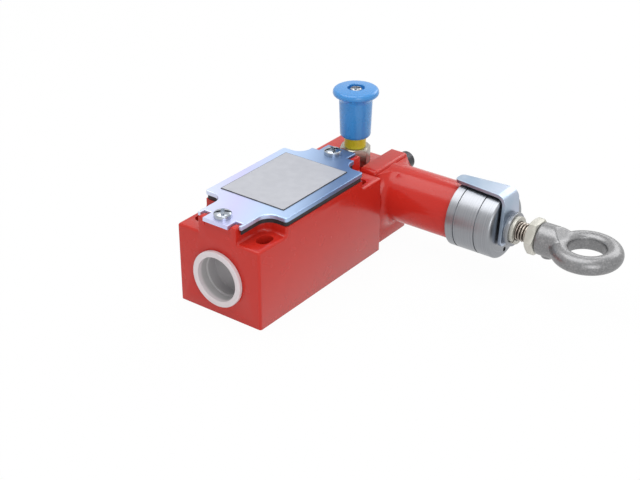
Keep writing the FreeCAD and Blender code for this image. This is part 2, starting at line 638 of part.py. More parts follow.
def head_screws():
    screws = []
    head_end = HEAD_REAR_Y + HEAD_SCREW_HEAD_HEIGHT
    for x, z in head_screw_places():
        shank = bar_along_y(x, z, HEAD_SCREW_RADIUS, HALF_LENGTH - HEAD_SCREW_GRIP, HEAD_REAR_Y)
        head = bar_along_y(x, z, HEAD_SCREW_HEAD_RADIUS, HEAD_REAR_Y, head_end)
        corners = [V(x + u, head_end - HEX_SOCKET_DEPTH, z + w)
                   for u, w in hexagon(HEX_SOCKET_ACROSS_FLATS, 0)]
        socket = Part.Face(Part.makePolygon(corners + corners[:1])).extrude(V(0, HEX_SOCKET_DEPTH, 0))
        screws.append(joined([shank, head]).cut(socket))
    return group(screws)


def seal_ends():
    middle = (TUBE_END_X + SLEEVE_UPPER_END_X) / 2
    return (middle - SEAL_LENGTH / 2, middle + SEAL_LENGTH / 2)


def guide_sleeve():
    """Turned steel ring on the tube's end: two marking grooves, and a shelf under the pointer plate."""
    spigot_bore = SPIGOT_RADIUS + SLEEVE_FIT
    rod_bore = ROD_RADIUS + ROD_RUNNING_CLEARANCE
    profile = [(SLEEVE_START_X, spigot_bore), (SLEEVE_START_X, SLEEVE_RADIUS)]
    for setback in GROOVE_SETBACKS:
        x = SLEEVE_START_X + setback
        bottom = SLEEVE_RADIUS - GROOVE_DEPTH
        profile += [(x - GROOVE_WIDTH / 2, SLEEVE_RADIUS), (x - GROOVE_WIDTH / 2, bottom),
                    (x + GROOVE_WIDTH / 2, bottom), (x + GROOVE_WIDTH / 2, SLEEVE_RADIUS)]
    profile += [(SLEEVE_END_X, SLEEVE_RADIUS), (SLEEVE_END_X, rod_bore), (TUBE_END_X, rod_bore),
                (TUBE_END_X, spigot_bore)]
    sleeve = round_edges(turned_on_pull_axis(profile), SLEEVE_END_RADIUS,
                         lambda p, t: near(p.x, SLEEVE_END_X) and p.z > PULL_AXIS_Z + rod_bore + WALL
                         or near(p.x, SLEEVE_END_X) and p.z < PULL_AXIS_Z - rod_bore - WALL)
    turn = math.radians(SPANNER_HOLE_TURN)
    hole = Part.makeCylinder(SPANNER_HOLE_RADIUS, SPANNER_HOLE_DEPTH,
                             V(SLEEVE_END_X - SPANNER_HOLE_DEPTH,
                               PULL_AXIS_Y + SPANNER_HOLE_PITCH_RADIUS * math.sin(turn),
                               PULL_AXIS_Z - SPANNER_HOLE_PITCH_RADIUS * math.cos(turn)), V(1, 0, 0))
    above_shelf = box((SLEEVE_UPPER_END_X, SLEEVE_END_X), (0, 2 * PULL_AXIS_Y),
                      (PULL_AXIS_Z - SLEEVE_SHELF_DROP, 2 * PULL_AXIS_Z))
    return sleeve.cut([rod_along_x(SEAL_OUTER_RADIUS, *seal_ends()), hole, above_shelf])


def rod_seal():
    ends = seal_ends()
    return rod_along_x(SEAL_OUTER_RADIUS, *ends).cut(rod_along_x(ROD_RADIUS + SEAL_CLEARANCE, *ends))


def pull_rod():
    thread_end = EYE_START_X + EYE_THREAD_DEPTH - 2 * THREAD_CLEARANCE
    stud_start = PLATE_FRONT_X - ROD_STUD_LENGTH
    return turned_on_pull_axis([
        (stud_start, 0), (stud_start, ROD_STUD_RADIUS), (PLATE_FRONT_X, ROD_STUD_RADIUS),
        (PLATE_FRONT_X, ROD_RADIUS), (BRACKET_BACK_X, ROD_RADIUS), (BRACKET_BACK_X, ROD_THREAD_RADIUS),
        (thread_end, ROD_THREAD_RADIUS), (thread_end, 0)])


def trip_cam():
    """Turned cam on the rod's inner end: its cone pushes the plunger as the rod is pulled."""
    start_radius = CAM_START_RADIUS + CAM_SLOPE * (PLUNGER_X - cam_start_x())
    neck_x = PLUNGER_X + CAM_NECK_LENGTH
    neck_radius = CAM_START_RADIUS - CAM_SLOPE * CAM_NECK_LENGTH
    land_start = neck_x + CAM_LAND_RADIUS - neck_radius
    cam = turned_on_pull_axis([
        (cam_start_x(), 0), (cam_start_x(), start_radius), (neck_x, neck_radius),
        (land_start, CAM_LAND_RADIUS), (PLATE_BACK_X, CAM_LAND_RADIUS), (PLATE_BACK_X, 0)])
    stud_hole = rod_along_x(ROD_STUD_RADIUS + THREAD_CLEARANCE, PLATE_FRONT_X - ROD_STUD_LENGTH, PLATE_BACK_X)
    return cam.cut(stud_hole)


def spring_plate():
    disc = rod_along_x(SPRING_PLATE_RADIUS, PLATE_BACK_X, PLATE_FRONT_X)
    return disc.cut(rod_along_x(ROD_STUD_RADIUS + THREAD_CLEARANCE, PLATE_BACK_X, PLATE_FRONT_X))


def pull_spring():
    start = PLATE_FRONT_X + SPRING_END_GAP
    length = TUBE_END_X - SPRING_END_GAP - start
    place = FreeCAD.Placement(V(start, PULL_AXIS_Y, PULL_AXIS_Z), FreeCAD.Rotation(V(0, 1, 0), 90))
    return coil(PULL_SPRING_COIL_RADIUS, PULL_SPRING_WIRE_RADIUS, PULL_SPRING_TURNS, length, place)


def indicator_bracket():
    """Bent plate on the rod: its arm lies over the sleeve and points at the grooves."""
    bend = BRACKET_BEND_RADIUS
    inner_bend = bend - BRACKET_THICKNESS
    underside = BRACKET_TOP - BRACKET_THICKNESS
    bottom = PULL_AXIS_Z - BRACKET_DROP
    diagonal = math.sqrt(0.5)
    x_bend = BRACKET_FACE_X - bend
    z_bend = BRACKET_TOP - bend

    def at(x, z):
        return V(x, PULL_AXIS_Y - BRACKET_HALF_WIDTH, z)

    outer_arc = Part.Arc(at(x_bend, BRACKET_TOP), at(x_bend + bend * diagonal, z_bend + bend * diagonal),
                         at(BRACKET_FACE_X, z_bend))
    inner_arc = Part.Arc(at(BRACKET_BACK_X, z_bend),
                         at(x_bend + inner_bend * diagonal, z_bend + inner_bend * diagonal),
                         at(x_bend, underside))
    section = Part.Wire([
        Part.makeLine(at(BRACKET_TIP_X, BRACKET_TOP), at(x_bend, BRACKET_TOP)), outer_arc.toShape(),
        Part.makeLine(at(BRACKET_FACE_X, z_bend), at(BRACKET_FACE_X, bottom)),
        Part.makeLine(at(BRACKET_FACE_X, bottom), at(BRACKET_BACK_X, bottom)),
        Part.makeLine(at(BRACKET_BACK_X, bottom), at(BRACKET_BACK_X, z_bend)), inner_arc.toShape(),
        Part.makeLine(at(x_bend, underside), at(BRACKET_TIP_X, underside)),
        Part.makeLine(at(BRACKET_TIP_X, underside), at(BRACKET_TIP_X, BRACKET_TOP))])
    sheet = Part.Face(section).extrude(V(0, 2 * BRACKET_HALF_WIDTH, 0))
    near_tip = PULL_AXIS_Y - BRACKET_TIP_HALF_WIDTH
    far_tip = PULL_AXIS_Y + BRACKET_TIP_HALF_WIDTH
    taper = prism([(BRACKET_TIP_X, near_tip), (BRACKET_FACE_X, PULL_AXIS_Y - BRACKET_HALF_WIDTH),
                   (BRACKET_FACE_X, PULL_AXIS_Y + BRACKET_HALF_WIDTH), (BRACKET_TIP_X, far_tip)],
                  bottom, BRACKET_TOP)
    taper = round_edges(taper, BRACKET_TIP_RADIUS, lambda p, t: upright(t) and near(p.x, BRACKET_TIP_X))
    sheet = sheet.common(taper)
    sheet = round_edges(sheet, BRACKET_CORNER_RADIUS, lambda p, t: abs(t.x) > 0.9 and near(p.z, bottom))
    return sheet.cut(rod_along_x(ROD_THREAD_RADIUS + THREAD_CLEARANCE, BRACKET_BACK_X, BRACKET_FACE_X))


def ring_on_thread(radius, x_low, x_high):
    """A flat ring on the threaded end of the rod."""
    return rod_along_x(radius, x_low, x_high).cut(
        rod_along_x(ROD_THREAD_RADIUS + THREAD_CLEARANCE, x_low, x_high))


def lock_ring():
    return ring_on_thread(LOCK_RING_RADIUS, BRACKET_FACE_X, LOCK_RING_FACE_X)


def rod_washer():
    return ring_on_thread(WASHER_RADIUS, LOCK_RING_FACE_X, WASHER_FACE_X)


def jam_nut():
    corners = [V(JAM_NUT_START_X, PULL_AXIS_Y + u, PULL_AXIS_Z + w)
               for u, w in hexagon(JAM_NUT_ACROSS_FLATS, 0)]
    nut = Part.Face(Part.makePolygon(corners + corners[:1])).extrude(V(JAM_NUT_THICKNESS, 0, 0))
    corner_radius = JAM_NUT_ACROSS_FLATS / math.sqrt(3)
    rounded = turned_on_pull_axis([
        (JAM_NUT_START_X, 0), (JAM_NUT_START_X, corner_radius - 2 * JAM_NUT_CHAMFER),
        (JAM_NUT_START_X + JAM_NUT_CHAMFER, corner_radius), (EYE_START_X - JAM_NUT_CHAMFER, corner_radius),
        (EYE_START_X, corner_radius - 2 * JAM_NUT_CHAMFER), (EYE_START_X, 0)])
    hole = rod_along_x(ROD_THREAD_RADIUS + THREAD_CLEARANCE, JAM_NUT_START_X, EYE_START_X)
    return nut.common(rounded).cut(hole)


def eye_ring():
    """The ring of the eye: round outside, with a straight wall in the hole."""
    half, wall = EYE_RING_HALF_HEIGHT, EYE_HOLE_WALL_HALF_HEIGHT
    outer_middle = EYE_RING_OUTER_RADIUS - half
    inner_middle = EYE_HOLE_RADIUS + math.sqrt(half ** 2 - wall ** 2)
    lean = math.atan2(wall, inner_middle - EYE_HOLE_RADIUS) / 2 + math.pi / 4
    reach, rise = half * math.cos(lean), half * math.sin(lean)

    def at(radius, z):
        return V(EYE_RING_X + radius, PULL_AXIS_Y, PULL_AXIS_Z + z)

    upper_round = Part.Arc(at(EYE_HOLE_RADIUS, wall), at(inner_middle - reach, rise), at(inner_middle, half))
    outer_round = Part.Arc(at(outer_middle, half), at(EYE_RING_OUTER_RADIUS, 0), at(outer_middle, -half))
    lower_round = Part.Arc(at(inner_middle, -half), at(inner_middle - reach, -rise), at(EYE_HOLE_RADIUS, -wall))
    outline = Part.Wire([
        Part.makeLine(at(EYE_HOLE_RADIUS, -wall), at(EYE_HOLE_RADIUS, wall)), upper_round.toShape(),
        Part.makeLine(at(inner_middle, half), at(outer_middle, half)), outer_round.toShape(),
        Part.makeLine(at(outer_middle, -half), at(inner_middle, -half)), lower_round.toShape()])
    return Part.Face(outline).revolve(V(EYE_RING_X, PULL_AXIS_Y, PULL_AXIS_Z), V(0, 0, 1), 360)


def pull_eye():
    """Cast eye that takes the rope: a ring on a threaded boss that thins down to the ring's height."""
    boss_end = EYE_START_X + EYE_BOSS_LENGTH
    neck_end = boss_end + EYE_NECK_LENGTH
    boss = turned_on_pull_axis([
        (EYE_START_X, 0), (EYE_START_X, EYE_BOSS_RADIUS - EYE_EDGE_CHAMFER),
        (EYE_START_X + EYE_EDGE_CHAMFER, EYE_BOSS_RADIUS), (neck_end, EYE_BOSS_RADIUS), (neck_end, 0)])
    steep = (EYE_BOSS_RADIUS - EYE_NECK_HALF_HEIGHT) / EYE_NECK_LENGTH
    high = EYE_BOSS_RADIUS + steep * (boss_end - EYE_START_X)
    side = [(EYE_START_X, high), (neck_end, EYE_NECK_HALF_HEIGHT),
            (neck_end, -EYE_NECK_HALF_HEIGHT), (EYE_START_X, -high)]
    corners = [V(x, 0, PULL_AXIS_Z + z) for x, z in side]
    taper = Part.Face(Part.makePolygon(corners + corners[:1])).extrude(V(0, 2 * PULL_AXIS_Y, 0))
    nub = post(boss_end - EYE_NUB_RADIUS - EYE_NUB_SETBACK, PULL_AXIS_Y, EYE_NUB_RADIUS,
               PULL_AXIS_Z - EYE_BOSS_RADIUS - EYE_NUB_HEIGHT, PULL_AXIS_Z)
    hole = rod_along_x(ROD_THREAD_RADIUS + THREAD_CLEARANCE, EYE_START_X, EYE_START_X + EYE_THREAD_DEPTH)
    return joined([eye_ring(), boss.common(taper), nub]).cut(hole)


def plunger_pin():
    """Steel pin with a round tip, from the cam through the joint of head and body to the carrier."""
    tip = plunger_tip_y()
    pin = bar_along_y(PLUNGER_X, PULL_AXIS_Z, PLUNGER_RADIUS, CARRIER_REAR_Y, tip)
    ball = Part.makeSphere(PLUNGER_RADIUS, V(PLUNGER_X, tip, PULL_AXIS_Z))
    return joined([pin, ball])


def bridge_slot(y):
    """The window in the carrier that holds one contact bridge."""
    half = BRIDGE_WIDTH / 2
    return box((-BLOCK_HALF_WIDTH, BLOCK_HALF_WIDTH), (y - half, y + half),
               (PULL_AXIS_Z - BRIDGE_THICKNESS / 2, PULL_AXIS_Z + BRIDGE_THICKNESS / 2))


def contact_carrier():
    """Insulating slide with a crosshead behind the block, which the plunger pin pushes on."""
    height = (PULL_AXIS_Z - CARRIER_HALF_HEIGHT, PULL_AXIS_Z + CARRIER_HALF_HEIGHT)
    bar = box((-CARRIER_HALF_WIDTH, CARRIER_HALF_WIDTH), (CARRIER_FRONT_Y, CARRIER_REAR_Y), height)
    crosshead = box((-CROSSHEAD_HALF_WIDTH, CROSSHEAD_HALF_WIDTH),
                    (CARRIER_REAR_Y - CROSSHEAD_THICKNESS, CARRIER_REAR_Y), height)
    return joined([bar, crosshead]).cut([bridge_slot(y) for y in BRIDGE_PLACES])


def contact_bridges():
    half = BRIDGE_LENGTH / 2
    span = box((-half, half), (-HALF_LENGTH, HALF_LENGTH), (0, RIM_HEIGHT))
    return group([bridge_slot(y).common(span) for y in BRIDGE_PLACES])


def block_channel():
    """The slot in the contact block that the carrier slides in, and room for the bridges beside it."""
    half = CARRIER_HALF_WIDTH + CARRIER_CLEARANCE
    low = PULL_AXIS_Z - CARRIER_HALF_HEIGHT - CARRIER_CLEARANCE
    channel = box((-half, half), (BLOCK_FRONT_Y + BLOCK_CHANNEL_END_WALL, BLOCK_REAR_Y), (low, BLOCK_TOP))
    reach = BRIDGE_LENGTH / 2 + BRIDGE_SLOT_MARGIN
    travel = CAM_SLOPE * PULL_TRAVEL
    rooms = []
    side = BRIDGE_WIDTH / 2 + BRIDGE_SLOT_MARGIN
    for y in BRIDGE_PLACES:
        rooms.append(box((-reach, reach), (y - side - travel, y + side),
                         (PULL_AXIS_Z - BRIDGE_THICKNESS, PULL_AXIS_Z + BRIDGE_THICKNESS)))
    return channel.fuse(rooms)


def terminal_places():
    ys = (BLOCK_FRONT_Y + TERMINAL_LEDGE_LENGTH / 2, BLOCK_REAR_Y - TERMINAL_LEDGE_LENGTH / 2)
    return [(side * TERMINAL_X, y) for side in (-1, 1) for y in ys]


def contact_block():
    block = box((-BLOCK_HALF_WIDTH, BLOCK_HALF_WIDTH), (BLOCK_FRONT_Y, BLOCK_REAR_Y), (WALL, BLOCK_TOP))
    cuts = [block_channel()]
    half = TERMINAL_LEDGE_LENGTH / 2
    for x, y in terminal_places():
        x_limits = sorted((math.copysign(TERMINAL_LEDGE_INNER, x), math.copysign(BLOCK_HALF_WIDTH, x)))
        cuts.append(box(x_limits, (y - half, y + half), (TERMINAL_LEDGE_HEIGHT, BLOCK_TOP)))
        cuts.append(post(x, y, TERMINAL_SCREW_RADIUS + SCREW_HOLE_CLEARANCE,
                         TERMINAL_LEDGE_HEIGHT - TERMINAL_SCREW_LENGTH, TERMINAL_LEDGE_HEIGHT))
    for side in (-1, 1):
        cuts.append(post(side * BLOCK_SCREW_X, BLOCK_SCREW_Y, BLOCK_SCREW_RADIUS + SCREW_HOLE_CLEARANCE,
                         WALL, BLOCK_TOP))
    return block.cut(cuts)


def terminal_clamps():
    half = TERMINAL_CLAMP_SIZE / 2
    top = TERMINAL_LEDGE_HEIGHT + TERMINAL_CLAMP_THICKNESS
    clamps = []
    for x, y in terminal_places():
        clamp = box((x - half, x + half), (y - half, y + half), (TERMINAL_LEDGE_HEIGHT, top))
        clamps.append(clamp.cut(post(x, y, TERMINAL_SCREW_RADIUS + SCREW_HOLE_CLEARANCE,
                                     TERMINAL_LEDGE_HEIGHT, top)))
    return group(clamps)


def terminal_screws():
    seat = TERMINAL_LEDGE_HEIGHT + TERMINAL_CLAMP_THICKNESS
    return group([slotted_post(x, y, TERMINAL_SCREW_HEAD_RADIUS, TERMINAL_SCREW_HEAD_HEIGHT,
                               TERMINAL_SCREW_RADIUS, TERMINAL_SCREW_LENGTH, seat)
                  for x, y in terminal_places()])


def contact_block_screws():
    length = BLOCK_TOP - WALL + BLOCK_SCREW_GRIP
    return group([slotted_post(side * BLOCK_SCREW_X, BLOCK_SCREW_Y, BLOCK_SCREW_HEAD_RADIUS,
                               BLOCK_SCREW_HEAD_HEIGHT, BLOCK_SCREW_RADIUS, length, BLOCK_TOP)
                  for side in (-1, 1)])


def earth_screw():
    return slotted_post(EARTH_BOSS_X, EARTH_BOSS_Y, EARTH_BOSS_RADIUS, TERMINAL_SCREW_HEAD_HEIGHT,
                        TERMINAL_SCREW_RADIUS, EARTH_SCREW_LENGTH, EARTH_BOSS_TOP)


def contact_spring():
    start = BLOCK_FRONT_Y + BLOCK_CHANNEL_END_WALL + SPRING_END_GAP
    length = CARRIER_FRONT_Y - SPRING_END_GAP - start
    place = FreeCAD.Placement(V(0, start, PULL_AXIS_Z), FreeCAD.Rotation(V(1, 0, 0), -90))
    return coil(CONTACT_SPRING_COIL_RADIUS, CONTACT_SPRING_WIRE_RADIUS, CONTACT_SPRING_TURNS, length, place)


def reset_bush():
    """Hexagon bush screwed into the head: the stem of the knob runs in it."""
    corners = [(u, KNOB_AXIS_Y + w) for u, w in hexagon(BUSH_ACROSS_FLATS, BUSH_HEX_TURN)]
    body = prism(corners, BUSH_BOSS_TOP, BUSH_TOP)
    corner_radius = BUSH_ACROSS_FLATS / math.sqrt(3)
    cone = Part.makeCone(corner_radius + BUSH_TOP - BUSH_BOSS_TOP - BUSH_CHAMFER,
                         corner_radius - BUSH_CHAMFER,
                         BUSH_TOP - BUSH_BOSS_TOP, V(0, KNOB_AXIS_Y, BUSH_BOSS_TOP))
    spigot = post(0, KNOB_AXIS_Y, BUSH_SPIGOT_RADIUS, BUSH_BOSS_TOP - BUSH_SPIGOT_LENGTH, BUSH_BOSS_TOP)
    chamber = post(0, KNOB_AXIS_Y, LATCH_CHAMBER_RADIUS, BUSH_BOSS_TOP - BUSH_SPIGOT_LENGTH, BUSH_BOSS_TOP)
    bore = post(0, KNOB_AXIS_Y, STEM_RADIUS + STEM_RUNNING_CLEARANCE, BUSH_BOSS_TOP, BUSH_TOP)
    return joined([body.common(cone), spigot]).cut([chamber, bore])


def guide_collar():
    outer = post(0, KNOB_AXIS_Y, COLLAR_RADIUS, BUSH_TOP, COLLAR_TOP)
    return outer.cut(post(0, KNOB_AXIS_Y, COLLAR_BORE_RADIUS, BUSH_TOP, COLLAR_TOP))


def reset_knob():
    """Moulded knob with a flared cap, hollow below so that it slides over the collar."""
    low = KNOB_BOTTOM + KNOB_BOTTOM_ROUND
    inner_low = KNOB_LOW_RADIUS - KNOB_BOTTOM_ROUND
    diagonal = KNOB_BOTTOM_ROUND * math.sqrt(0.5)
    underside = KNOB_TOP - KNOB_CAP_HEIGHT
    rim = KNOB_TOP - KNOB_RIM_DROP
    crown = KNOB_TOP - KNOB_CROWN_DROP
    under_radius = KNOB_CAP_RADIUS - 0.6
    crown_edge = KNOB_CAP_RADIUS - 1.5

    def at(radius, z):
        return V(radius, KNOB_AXIS_Y, z)

    waist_top = at(KNOB_WAIST_RADIUS, KNOB_TOP - KNOB_FLARE_HEIGHT)
    edges = [
        Part.makeLine(at(KNOB_BORE_RADIUS, KNOB_BOTTOM), at(inner_low, KNOB_BOTTOM)),
        Part.Arc(at(inner_low, KNOB_BOTTOM), at(inner_low + diagonal, low - diagonal),
                 at(KNOB_LOW_RADIUS, low)).toShape(),
        Part.makeLine(at(KNOB_LOW_RADIUS, low), waist_top),
        Part.Arc(waist_top, at(KNOB_WAIST_RADIUS + 0.5, underside - 1.5),
                 at(under_radius, underside)).toShape(),
        Part.Arc(at(under_radius, underside), at(KNOB_CAP_RADIUS - 0.1, underside + 0.6),
                 at(KNOB_CAP_RADIUS, rim)).toShape(),
        Part.Arc(at(KNOB_CAP_RADIUS, rim), at(KNOB_CAP_RADIUS - 0.45, rim + 0.9),
                 at(crown_edge, crown)).toShape(),
        Part.makeLine(at(crown_edge, crown), at(KNOB_CROWN_RADIUS, KNOB_TOP)),
        Part.makeLine(at(KNOB_CROWN_RADIUS, KNOB_TOP), at(KNOB_RECESS_RADIUS, KNOB_TOP)),
        Part.makeLine(at(KNOB_RECESS_RADIUS, KNOB_TOP), at(KNOB_RECESS_RADIUS, KNOB_RECESS_FLOOR)),
        Part.makeLine(at(KNOB_RECESS_RADIUS, KNOB_RECESS_FLOOR), at(0, KNOB_RECESS_FLOOR)),
        Part.makeLine(at(0, KNOB_RECESS_FLOOR), at(0, KNOB_CEILING)),
        Part.makeLine(at(0, KNOB_CEILING), at(KNOB_BORE_RADIUS, KNOB_CEILING)),
        Part.makeLine(at(KNOB_BORE_RADIUS, KNOB_CEILING), at(KNOB_BORE_RADIUS, KNOB_BOTTOM))]
    knob = Part.Face(Part.Wire(edges)).revolve(V(0, KNOB_AXIS_Y, 0), V(0, 0, 1), 360)
    stem_hole = post(0, KNOB_AXIS_Y, STEM_RADIUS + BUSH_FIT, KNOB_CEILING, STEM_TOP)
    screw_hole = post(0, KNOB_AXIS_Y, KNOB_SCREW_RADIUS + SCREW_HOLE_CLEARANCE, STEM_TOP, KNOB_RECESS_FLOOR)
    return knob.cut([stem_hole, screw_hole])


def reset_stem():
    stem = post(0, KNOB_AXIS_Y, STEM_RADIUS, STEM_BOTTOM, STEM_TOP)
    thread_end = KNOB_RECESS_FLOOR - KNOB_SCREW_LENGTH
    return stem.cut(post(0, KNOB_AXIS_Y, KNOB_SCREW_RADIUS + SCREW_HOLE_CLEARANCE, thread_end, STEM_TOP))


def stem_clip():
    top = STEM_BOTTOM + STEM_CLIP_THICKNESS
    ring = post(0, KNOB_AXIS_Y, STEM_CLIP_RADIUS, STEM_BOTTOM, top)
    return ring.cut(post(0, KNOB_AXIS_Y, STEM_RADIUS, STEM_BOTTOM, top))


def knob_screw():
    seat = KNOB_RECESS_FLOOR
    head = post(0, KNOB_AXIS_Y, KNOB_SCREW_HEAD_RADIUS, seat, seat + KNOB_SCREW_HEAD_HEIGHT)
    shank = post(0, KNOB_AXIS_Y, KNOB_SCREW_RADIUS, seat - KNOB_SCREW_LENGTH, seat)
    return joined([head, shank])


def reset_spring():
    start = BUSH_TOP + SPRING_END_GAP
    length = KNOB_CEILING - SPRING_END_GAP - start
    place = FreeCAD.Placement(V(0, KNOB_AXIS_Y, start), FreeCAD.Rotation())
    return coil(RESET_SPRING_COIL_RADIUS, RESET_SPRING_WIRE_RADIUS, RESET_SPRING_TURNS, length, place)


NODES = (
    body_casing, cover_gasket, cover_plate, cover_screws, entry_plug,
    contact_block, terminal_clamps, terminal_screws, contact_block_screws, earth_screw,
    contact_carrier, contact_bridges, contact_spring, plunger_pin,
    head_casting, head_gasket, head_screws, guide_sleeve, rod_seal,
    pull_rod, trip_cam, spring_plate, pull_spring,
    indicator_bracket, lock_ring, rod_washer, jam_nut, pull_eye,
    reset_bush, guide_collar, reset_knob, knob_screw, reset_stem, stem_clip, reset_spring,
)


def main():
    os.makedirs("parts", exist_ok=True)
    for make in NODES:
        shape = make()
        shape.exportStep("parts/" + make.__name__ + ".step")
        print(make.__name__, len(shape.Solids), round(shape.Volume, 2), shape.isValid())


main()
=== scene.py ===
"""Dresses the rope pull switch: painted castings, plated steel, turned steel, rubber and moulded plastic."""
import bmesh
import bpy
import json
import math
from mathutils import Matrix, Vector


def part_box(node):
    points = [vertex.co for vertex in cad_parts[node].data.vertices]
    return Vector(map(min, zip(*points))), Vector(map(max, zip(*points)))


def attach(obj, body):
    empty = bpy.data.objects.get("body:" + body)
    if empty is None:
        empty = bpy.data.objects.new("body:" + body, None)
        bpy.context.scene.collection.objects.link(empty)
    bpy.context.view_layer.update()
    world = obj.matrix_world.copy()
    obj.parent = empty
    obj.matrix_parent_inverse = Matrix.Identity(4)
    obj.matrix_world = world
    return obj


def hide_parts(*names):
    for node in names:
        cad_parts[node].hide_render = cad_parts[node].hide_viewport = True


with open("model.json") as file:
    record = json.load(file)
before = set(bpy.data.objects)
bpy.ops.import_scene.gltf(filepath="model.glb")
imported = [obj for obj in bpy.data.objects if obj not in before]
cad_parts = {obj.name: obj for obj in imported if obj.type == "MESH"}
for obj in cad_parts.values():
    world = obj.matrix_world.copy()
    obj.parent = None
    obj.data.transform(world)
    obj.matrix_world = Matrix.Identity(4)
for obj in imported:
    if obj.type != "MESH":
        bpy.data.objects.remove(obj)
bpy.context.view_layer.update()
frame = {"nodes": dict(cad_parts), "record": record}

MM = 0.001
NODES = frame["nodes"]

# Places taken from the frame
ROD_LOW, ROD_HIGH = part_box("pull_rod")
PULL_AXIS = Vector((0, (ROD_LOW.y + ROD_HIGH.y) / 2, (ROD_LOW.z + ROD_HIGH.z) / 2))
KNOB_LOW, KNOB_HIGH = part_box("reset_knob")
KNOB_AXIS = Vector(((KNOB_LOW.x + KNOB_HIGH.x) / 2, (KNOB_LOW.y + KNOB_HIGH.y) / 2, 0))
COVER_LOW, COVER_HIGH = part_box("cover_plate")
PLUG_LOW, PLUG_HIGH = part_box("entry_plug")
FLOOR_Z = -0.2 * MM

# Camera of the photograph: angles in degrees, lengths in millimetres, focal length in pixels of the frame
CAMERA_AZIMUTH = 36.742
CAMERA_ELEVATION = 28.740
CAMERA_ROLL = 0.056
CAMERA_DISTANCE = 507.161
CAMERA_SHIFT_RIGHT = 38.278
CAMERA_SHIFT_UP = 28.453
CAMERA_FOCAL_PIXELS = 1319.295
CAMERA_Y_OFFSET = -39.5
IMAGE_WIDTH = 640
SENSOR_WIDTH = 36.0


# Materials

class Finish:
    """A material made from nodes, with short calls for the patterns that the pieces share."""

    def __init__(self, name):
        self.material = bpy.data.materials.new(name)
        self.material.use_nodes = True
        self.tree = self.material.node_tree
        self.shader = self.tree.nodes["Principled BSDF"]
        self.place = self.add("ShaderNodeTexCoord").outputs["Object"]

    def add(self, kind, **settings):
        node = self.tree.nodes.new(kind)
        for key, value in settings.items():
            setattr(node, key, value)
        return node

    def link(self, source, target):
        self.tree.links.new(source, target)

    def constant(self, **values):
        """Sets the shader's own sockets, with underscores for spaces."""
        for key, value in values.items():
            self.shader.inputs[key.replace("_", " ")].default_value = value
        return self

    def stretched(self, stretch):
        node = self.add("ShaderNodeMapping")
        node.inputs["Scale"].default_value = stretch
        self.link(self.place, node.inputs["Vector"])
        return node.outputs["Vector"]

    def noise(self, scale, detail=3.0, roughness=0.5, stretch=None):
        node = self.add("ShaderNodeTexNoise")
        node.inputs["Scale"].default_value = scale
        node.inputs["Detail"].default_value = detail
        node.inputs["Roughness"].default_value = roughness
        self.link(self.stretched(stretch) if stretch else self.place, node.inputs["Vector"])
        return node.outputs["Fac"]

    def turning(self, axis_point, axis, lines_per_mm):
        """Fine rings left by a lathe: a noise that changes along the axis and outwards from it only."""
        offset = self.add("ShaderNodeVectorMath", operation="SUBTRACT")
        self.link(self.place, offset.inputs[0])
        offset.inputs[1].default_value = axis_point
        along = self.add("ShaderNodeVectorMath", operation="DOT_PRODUCT")
        self.link(offset.outputs["Vector"], along.inputs[0])
        along.inputs[1].default_value = axis
        flat = self.add("ShaderNodeVectorMath", operation="MULTIPLY")
        self.link(offset.outputs["Vector"], flat.inputs[0])
        flat.inputs[1].default_value = [1 - abs(c) for c in axis]
        radius = self.add("ShaderNodeVectorMath", operation="LENGTH")
        self.link(flat.outputs["Vector"], radius.inputs[0])
        both = self.add("ShaderNodeMath", operation="ADD")
        self.link(along.outputs["Value"], both.inputs[0])
        self.link(radius.outputs["Value"], both.inputs[1])
        node = self.add("ShaderNodeTexNoise", noise_dimensions="1D")
        node.inputs["Scale"].default_value = lines_per_mm / MM
        node.inputs["Detail"].default_value = 4.0
        self.link(both.outputs["Value"], node.inputs["W"])
        return node.outputs["Fac"]

    def ramp_along(self, direction, low, high, wobble, amount):
        """Runs from 0 to 1 along a direction between two corners of a box, and wanders with a noise."""
        dot = self.add("ShaderNodeVectorMath", operation="DOT_PRODUCT")
        self.link(self.place, dot.inputs[0])
        dot.inputs[1].default_value = direction
        span = self.add("ShaderNodeMapRange")
        span.inputs["From Min"].default_value = direction.dot(low)
        span.inputs["From Max"].default_value = direction.dot(high)
        span.inputs["To Min"].default_value = -amount / 2
        span.inputs["To Max"].default_value = 1 - amount / 2
        self.link(dot.outputs["Value"], span.inputs["Value"])
        node = self.add("ShaderNodeMath", operation="MULTIPLY_ADD")
        self.link(wobble, node.inputs[0])
        node.inputs[1].default_value = amount
        self.link(span.outputs["Result"], node.inputs[2])
        return node.outputs[0]

    def colours(self, factor, stops):
        """A colour ramp with (position, colour) stops."""
        ramp = self.add("ShaderNodeValToRGB")
        elements = ramp.color_ramp.elements
        while len(elements) < len(stops):
            elements.new(0.5)
        for element, (position, colour) in zip(elements, stops):
            element.position = position
            element.color = (*colour, 1.0)
        self.link(factor, ramp.inputs["Fac"])
        return ramp.outputs["Color"]

    def values(self, factor, low, high, socket):
        """Drives a number of the shader between two values."""
        span = self.add("ShaderNodeMapRange")
        span.inputs["From Min"].default_value = 0.3
        span.inputs["From Max"].default_value = 0.7
        span.inputs["To Min"].default_value = low
        span.inputs["To Max"].default_value = high
        self.link(factor, span.inputs["Value"])
        self.link(span.outputs["Result"], self.shader.inputs[socket])
        return self

    def colour(self, source):
        self.link(source, self.shader.inputs["Base Color"])
        return self

    def bumps(self, *layers):
        """Stacks bump layers, each a height, a strength and a depth in millimetres."""
        last = None
        for height, strength, depth in layers:
            node = self.add("ShaderNodeBump")
            node.inputs["Strength"].default_value = strength
            node.inputs["Distance"].default_value = depth * MM
            self.link(height, node.inputs["Height"])
            if last:
                self.link(last, node.inputs["Normal"])
            last = node.outputs["Normal"]
        self.link(last, self.shader.inputs["Normal"])
        return self


